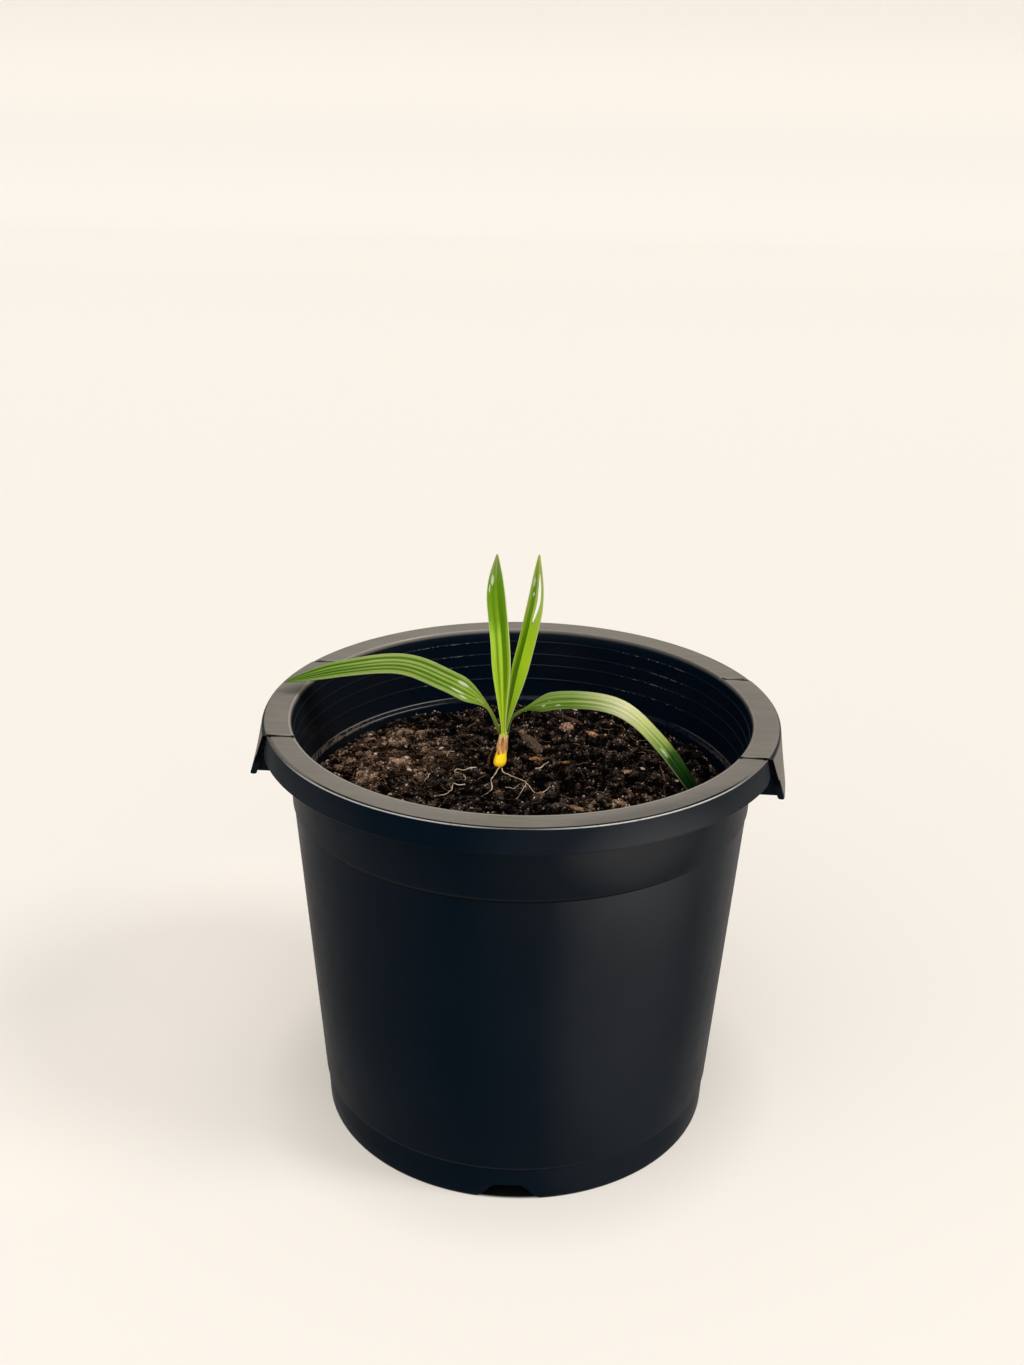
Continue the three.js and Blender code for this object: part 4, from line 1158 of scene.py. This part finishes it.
leafSteps = {"across": 28, "along": 190, "route": 600}
leaves = {
    # The midrib runs from the stem's fork. The blade opens between two parts of the length, from 0 to 1, and tapers
    # from the next. It is rolled by so many degrees at its foot and its tip, and it glows with a share of its own
    # colour, a painted glow for the light that shows through.
    "arching_left": {
        "midrib": [(-2.6, 0.3, 0.7), (-13.8, -0.9, 22.6), (-41.3, -7.6, 41.8), (-68.8, -9.2, 51.2),
                   (-105.5, -14.5, 48.3), (-144.1, -20.9, 40.1)],
        "facing": (0, 0, 1), "width": 20.5, "stalk": 2.4, "fold": 8, "opens": (0.11, 0.27), "tapers": 0.8,
        "roll": (-41, 2), "through": 0.04, "thickness": 0.7, "ribs": 5, "ribHeight": 0.3,
        "nodes": ["leaf_left_rise", "leaf_left_reach"],
        # tones along the leaf: the green between the stripes, and the stripes
        "deep": [(0.0, (0.045, 0.085, 0.006)), (0.1, (0.14, 0.22, 0.02)), (0.2, (0.14, 0.28, 0.01)),
                 (0.34, (0.058, 0.145, 0.004)), (0.6, (0.07, 0.145, 0.007)), (0.8, (0.036, 0.105, 0.003)),
                 (1.0, (0.034, 0.085, 0.003))],
        "bright": [(0.0, (0.14, 0.2, 0.02)), (0.15, (0.32, 0.44, 0.06)), (0.4, (0.26, 0.36, 0.075)),
                   (0.62, (0.29, 0.37, 0.1)), (0.8, (0.18, 0.31, 0.04)), (1.0, (0.12, 0.23, 0.02))],
        # how bright the leaf is across its width
        "across": [(0.0, 0.75), (0.1, 0.8), (0.19, 0.15), (0.25, 0.15), (0.31, 0.9), (0.38, 0.15), (0.47, 0.85),
                   (0.55, 0.15), (0.63, 0.1), (0.7, 0.8), (0.78, 0.1), (0.9, 0.55), (1.0, 0.7)],
        # pale margins: the leaf's own pale rim, made paler along its upper edge as a painted sheen
        "margin": (0.9, 0.4),
        # across, along, half its width, half its length
        "glints": [(0.3, 0.262, 0.09, 0.032), (0.86, 0.255, 0.07, 0.026), (0.72, 0.285, 0.05, 0.04),
                   (0.55, 0.17, 0.04, 0.025)],
    },
    "arching_right": {
        "midrib": [(2.7, -0.5, 0.7), (8.7, -3.2, 17.3), (37.7, -11.3, 31.3), (75.3, -23.1, 33.3),
                   (102.8, -29.7, 13.3), (131.4, -39.6, -21.4)],
        "facing": (0, 0, 1), "width": 17.1, "stalk": 2.4, "fold": 8, "opens": (0.137, 0.253), "tapers": 0.925,
        "roll": (33, -5), "through": 0.06, "thickness": 0.7, "ribs": 5, "ribHeight": 0.3,
        "nodes": ["leaf_right_rise", "leaf_right_fall"],
        # the pale stretch near the middle of its length is a painted sheen, and its last fifth is coloured nearly
        # black, a painted shade
        "deep": [(0.0, (0.05, 0.07, 0.012)), (0.15, (0.09, 0.17, 0.012)), (0.36, (0.075, 0.16, 0.008)),
                 (0.44, (0.17, 0.25, 0.05)), (0.56, (0.47, 0.5, 0.27)), (0.65, (0.4, 0.47, 0.14)),
                 (0.76, (0.1, 0.21, 0.018)), (0.81, (0.006, 0.034, 0.002)), (0.9, (0.001, 0.012, 0.0008)),
                 (1.0, (0.001, 0.01, 0.0008))],
        "bright": [(0.0, (0.12, 0.16, 0.025)), (0.15, (0.16, 0.25, 0.03)), (0.34, (0.24, 0.33, 0.09)),
                   (0.44, (0.44, 0.47, 0.2)), (0.56, (0.68, 0.67, 0.4)), (0.65, (0.54, 0.59, 0.22)),
                   (0.76, (0.28, 0.37, 0.08)), (0.81, (0.022, 0.075, 0.005)), (0.9, (0.003, 0.026, 0.002)),
                   (1.0, (0.003, 0.02, 0.002))],
        "across": [(0.0, 0.25), (0.08, 0.1), (0.17, 0.6), (0.25, 0.15), (0.34, 0.1), (0.43, 0.75), (0.52, 0.3),
                   (0.61, 0.15), (0.7, 0.8), (0.79, 0.4), (0.88, 1.0), (1.0, 0.9)],
        "margin": (0.35, 0.6),
        "glints": [(0.3, 0.235, 0.04, 0.012), (0.22, 0.3, 0.05, 0.014), (0.24, 0.775, 0.1, 0.03),
                   (0.55, 0.255, 0.04, 0.008)],
    },
    "upright_left": {
        "midrib": [(-0.2, -1.5, 0.5), (-2.6, -1.6, 60.9), (-6.1, -1.4, 100.8), (-5.9, -1.2, 127.3)],
        "facing": (0, -1, 0.1), "width": 13, "stalk": 2.2, "fold": 16, "opens": (-0.03, 0.442), "tapers": 0.73,
        "roll": (-10.8, -4.3), "through": 0.38, "thickness": 0.6, "ribs": 4, "ribHeight": 0.2,
        "nodes": ["leaf_upright_left"],
        "deep": [(0.0, (0.3, 0.4, 0.012)), (0.12, (0.24, 0.4, 0.012)), (0.28, (0.12, 0.24, 0.006)),
                 (0.65, (0.085, 0.2, 0.003)), (0.85, (0.1, 0.22, 0.005)), (0.94, (0.14, 0.21, 0.03)),
                 (1.0, (0.2, 0.26, 0.05))],
        "bright": [(0.0, (0.5, 0.6, 0.03)), (0.2, (0.5, 0.68, 0.03)), (0.56, (0.42, 0.64, 0.05)),
                   (0.66, (0.2, 0.36, 0.012)), (0.85, (0.13, 0.26, 0.01)), (0.93, (0.24, 0.32, 0.09)),
                   (1.0, (0.3, 0.36, 0.1))],
        "across": [(0.0, 0.7), (0.07, 0.45), (0.16, 0.35), (0.24, 0.02), (0.37, 0.05), (0.44, 0.5), (0.49, 1.0),
                   (0.56, 0.75), (0.64, 0.35), (0.72, 0.35), (0.84, 0.7), (0.93, 0.6), (1.0, 0.9)],
        "margin": (0.9, 0.7),
        "glints": [(0.74, 0.865, 0.12, 0.035), (0.86, 0.82, 0.05, 0.03)],
    },
    "upright_right": {
        "midrib": [(0.1, 1.9, 0.5), (9, 1.8, 42.1), (19, 1.5, 91.2), (21.2, 1.4, 127.4)],
        "facing": (0, -1, 0.1), "width": 11.5, "stalk": 2.2, "fold": 14, "opens": (0, 0.406), "tapers": 0.644,
        "roll": (-17.7, -9.4), "through": 0.24, "thickness": 0.6, "ribs": 4, "ribHeight": 0.2,
        "nodes": ["leaf_upright_right"],
        # split in two along this seam between these parts of its length
        "slit": {"from": 0.62, "to": 0.91, "seam": -1 / 14, "pull": -0.4, "half": 1.15},
        "deep": [(0.0, (0.2, 0.3, 0.012)), (0.2, (0.09, 0.18, 0.006)), (0.5, (0.075, 0.18, 0.002)),
                 (0.7, (0.11, 0.24, 0.003)), (0.85, (0.13, 0.24, 0.012)), (1.0, (0.28, 0.36, 0.05))],
        "bright": [(0.0, (0.28, 0.38, 0.03)), (0.2, (0.36, 0.55, 0.025)), (0.4, (0.42, 0.64, 0.02)),
                   (0.62, (0.34, 0.54, 0.02)), (0.75, (0.4, 0.52, 0.12)), (0.85, (0.36, 0.46, 0.1)),
                   (1.0, (0.42, 0.5, 0.13))],
        # darker just past the middle of its width: a painted shade on that side of its fold
        "across": [(0.0, 0.9), (0.08, 1.0), (0.2, 0.85), (0.35, 0.8), (0.48, 0.75), (0.57, 0.8), (0.62, 0.1),
                   (0.75, 0.05), (0.84, 0.4), (0.92, 0.45), (1.0, 0.7)],
        "margin": (0.9, 0.7),
        "glints": [(0.8, 0.855, 0.07, 0.035), (0.72, 0.79, 0.05, 0.015)],
    },
}


def buildLeaf(leaf):
    mesh = bmesh.new()
    bmesh.ops.create_grid(mesh, x_segments=leafSteps["across"], y_segments=leafSteps["along"], size=1)
    uvLayer = mesh.loops.layers.uv.new("UVMap")
    for face in mesh.faces:
        for loop in face.loops:
            loop[uvLayer].uv = (loop.vert.co.x / 2 + 0.5, loop.vert.co.y / 2 + 0.5)
    slit = leaf.get("slit")
    if slit:
        seam = slit["seam"]
        onSeam = [
            e for e in mesh.edges if all(
                abs(v.co.x - seam) < 0.01 and slit["from"] < v.co.y / 2 + 0.5 < slit["to"] for v in e.verts)]
        bmesh.ops.split_edges(mesh, edges=onSeam)
        for vert in mesh.verts:
            vert.tag = all(f.calc_center_median().x < seam for f in vert.link_faces)
    steps = leafSteps["route"]
    route = smoothRoute(leaf["midrib"], steps)
    origin = Vector(stem["foot"]) + Vector(stem["fork"])
    facing = Vector(leaf["facing"])
    for vert in mesh.verts:
        across, part = vert.co.x, vert.co.y / 2 + 0.5
        at = part * steps
        k = min(int(at), steps - 1)
        point = Vector(route[k] + (route[k + 1] - route[k]) * (at - k))
        low, high = max(k - 3, 0), min(k + 4, steps)
        tangent = Vector(route[high] - route[low]).normalized()
        up = (facing - tangent * facing.dot(tangent)).normalized()
        up = Matrix.Rotation(radians(blend(*leaf["roll"], part)), 3, tangent) @ up
        side = up.cross(tangent)
        past = max(0, (part - leaf["tapers"]) / (1 - leaf["tapers"]))
        opened = eased(part, *leaf["opens"])
        width = blend(leaf["stalk"], leaf["width"], opened) * (1 - past * past) + 0.4
        reach = 0.5 * width * across
        if slit:
            half = 0.5 * width
            middle = blend(seam, slit["pull"], eased(part, slit["from"], slit["from"] + 0.15)) * half
            passed = min(max((part - slit["from"]) / (slit["to"] - slit["from"]), 0), 1)
            gap = slit["half"] * sin(pi * passed) ** 0.8
            if vert.tag:
                reach = blend(-half, middle - gap, (across + 1) / (seam + 1))
            else:
                reach = blend(middle + gap, half, (across - seam) / (1 - seam))
        fold = radians(leaf["fold"])
        bow = (reach * reach + 0.25) ** 0.5 - 0.5
        ridge = leaf["ribHeight"] * cos(tau * leaf["ribs"] * across / 2) * min(1, width / 10) * (1 - past)
        sag = -0.35 * eased(abs(across), 0.8, 1) * opened
        vert.co = origin + point + side * reach * cos(fold) + up * (max(bow, 0) * sin(fold) + ridge + sag)
    return mesh


def leafFinish(name, leaf):
    paint = Paint(name + "Green", Specular_IOR_Level=0.07, Coat_Roughness=0.22)
    uv = paint.add("UVMap", {"uv_map": "UVMap"})
    across, along = paint.axis(0, uv), paint.axis(1, uv)
    wander = paint.grain(1, 2, 0.5, paint.stretched(3, 2.5, 1, uv))
    threads = paint.grain(1, 4, 0.6, paint.stretched(85, 3.5, 1, uv))
    broad = paint.grain(1, 3, 0.6, paint.stretched(16, 2.2, 1, uv))
    place = across + (wander - 0.5) * 0.05 + (threads - 0.5) * 0.05
    brightness = place.ramp(*[(spot, (level,) * 3) for spot, level in leaf["across"]])
    brightness = brightness * (broad * 1.1 + 0.45) + (threads - 0.5) * 0.55
    where = along + (broad - 0.5) * 0.1
    colour = paint.mix(brightness.between(0.16, 0.74), where.ramp(*leaf["deep"]), where.ramp(*leaf["bright"]))
    strengthNear, strengthFar = leaf["margin"]
    edge = across.between(0.045, 0.012) * strengthNear + across.between(0.955, 0.988) * strengthFar
    colour = paint.mix(edge * along.between(0.98, 0.8, 0.3, 1), colour, (0.52, 0.58, 0.26))
    for spotAcross, spotAlong, halfAcross, halfAlong in leaf["glints"]:
        a = (across - spotAcross) * (1 / halfAcross)
        b = (along - spotAlong) * (1 / halfAlong)
        near = (a * a + b * b).between(1.0, 0.1)
        colour = paint.mix(near * threads.between(0.42, 0.56) * 0.95, colour, (0.8, 0.84, 0.74))
    paint.give("Coat Weight", broad.between(0.45, 0.7) * 0.08)
    # painted glow: a share of the leaf's colour, for the light that shows through
    paint.glow(colour, leaf["through"])
    return paint.finish(colour, threads * 0.12 + 0.4, threads + broad * 0.5, 0.0003)


for name, leaf in leaves.items():
    shell = [("SOLIDIFY", {"thickness": leaf["thickness"] * millimetre, "offset": 0.0})]
    finishPiece("leaf_" + name, buildLeaf(leaf), leafFinish(name, leaf), leaf["nodes"], modifiers=shell)
print("leaves modelled")
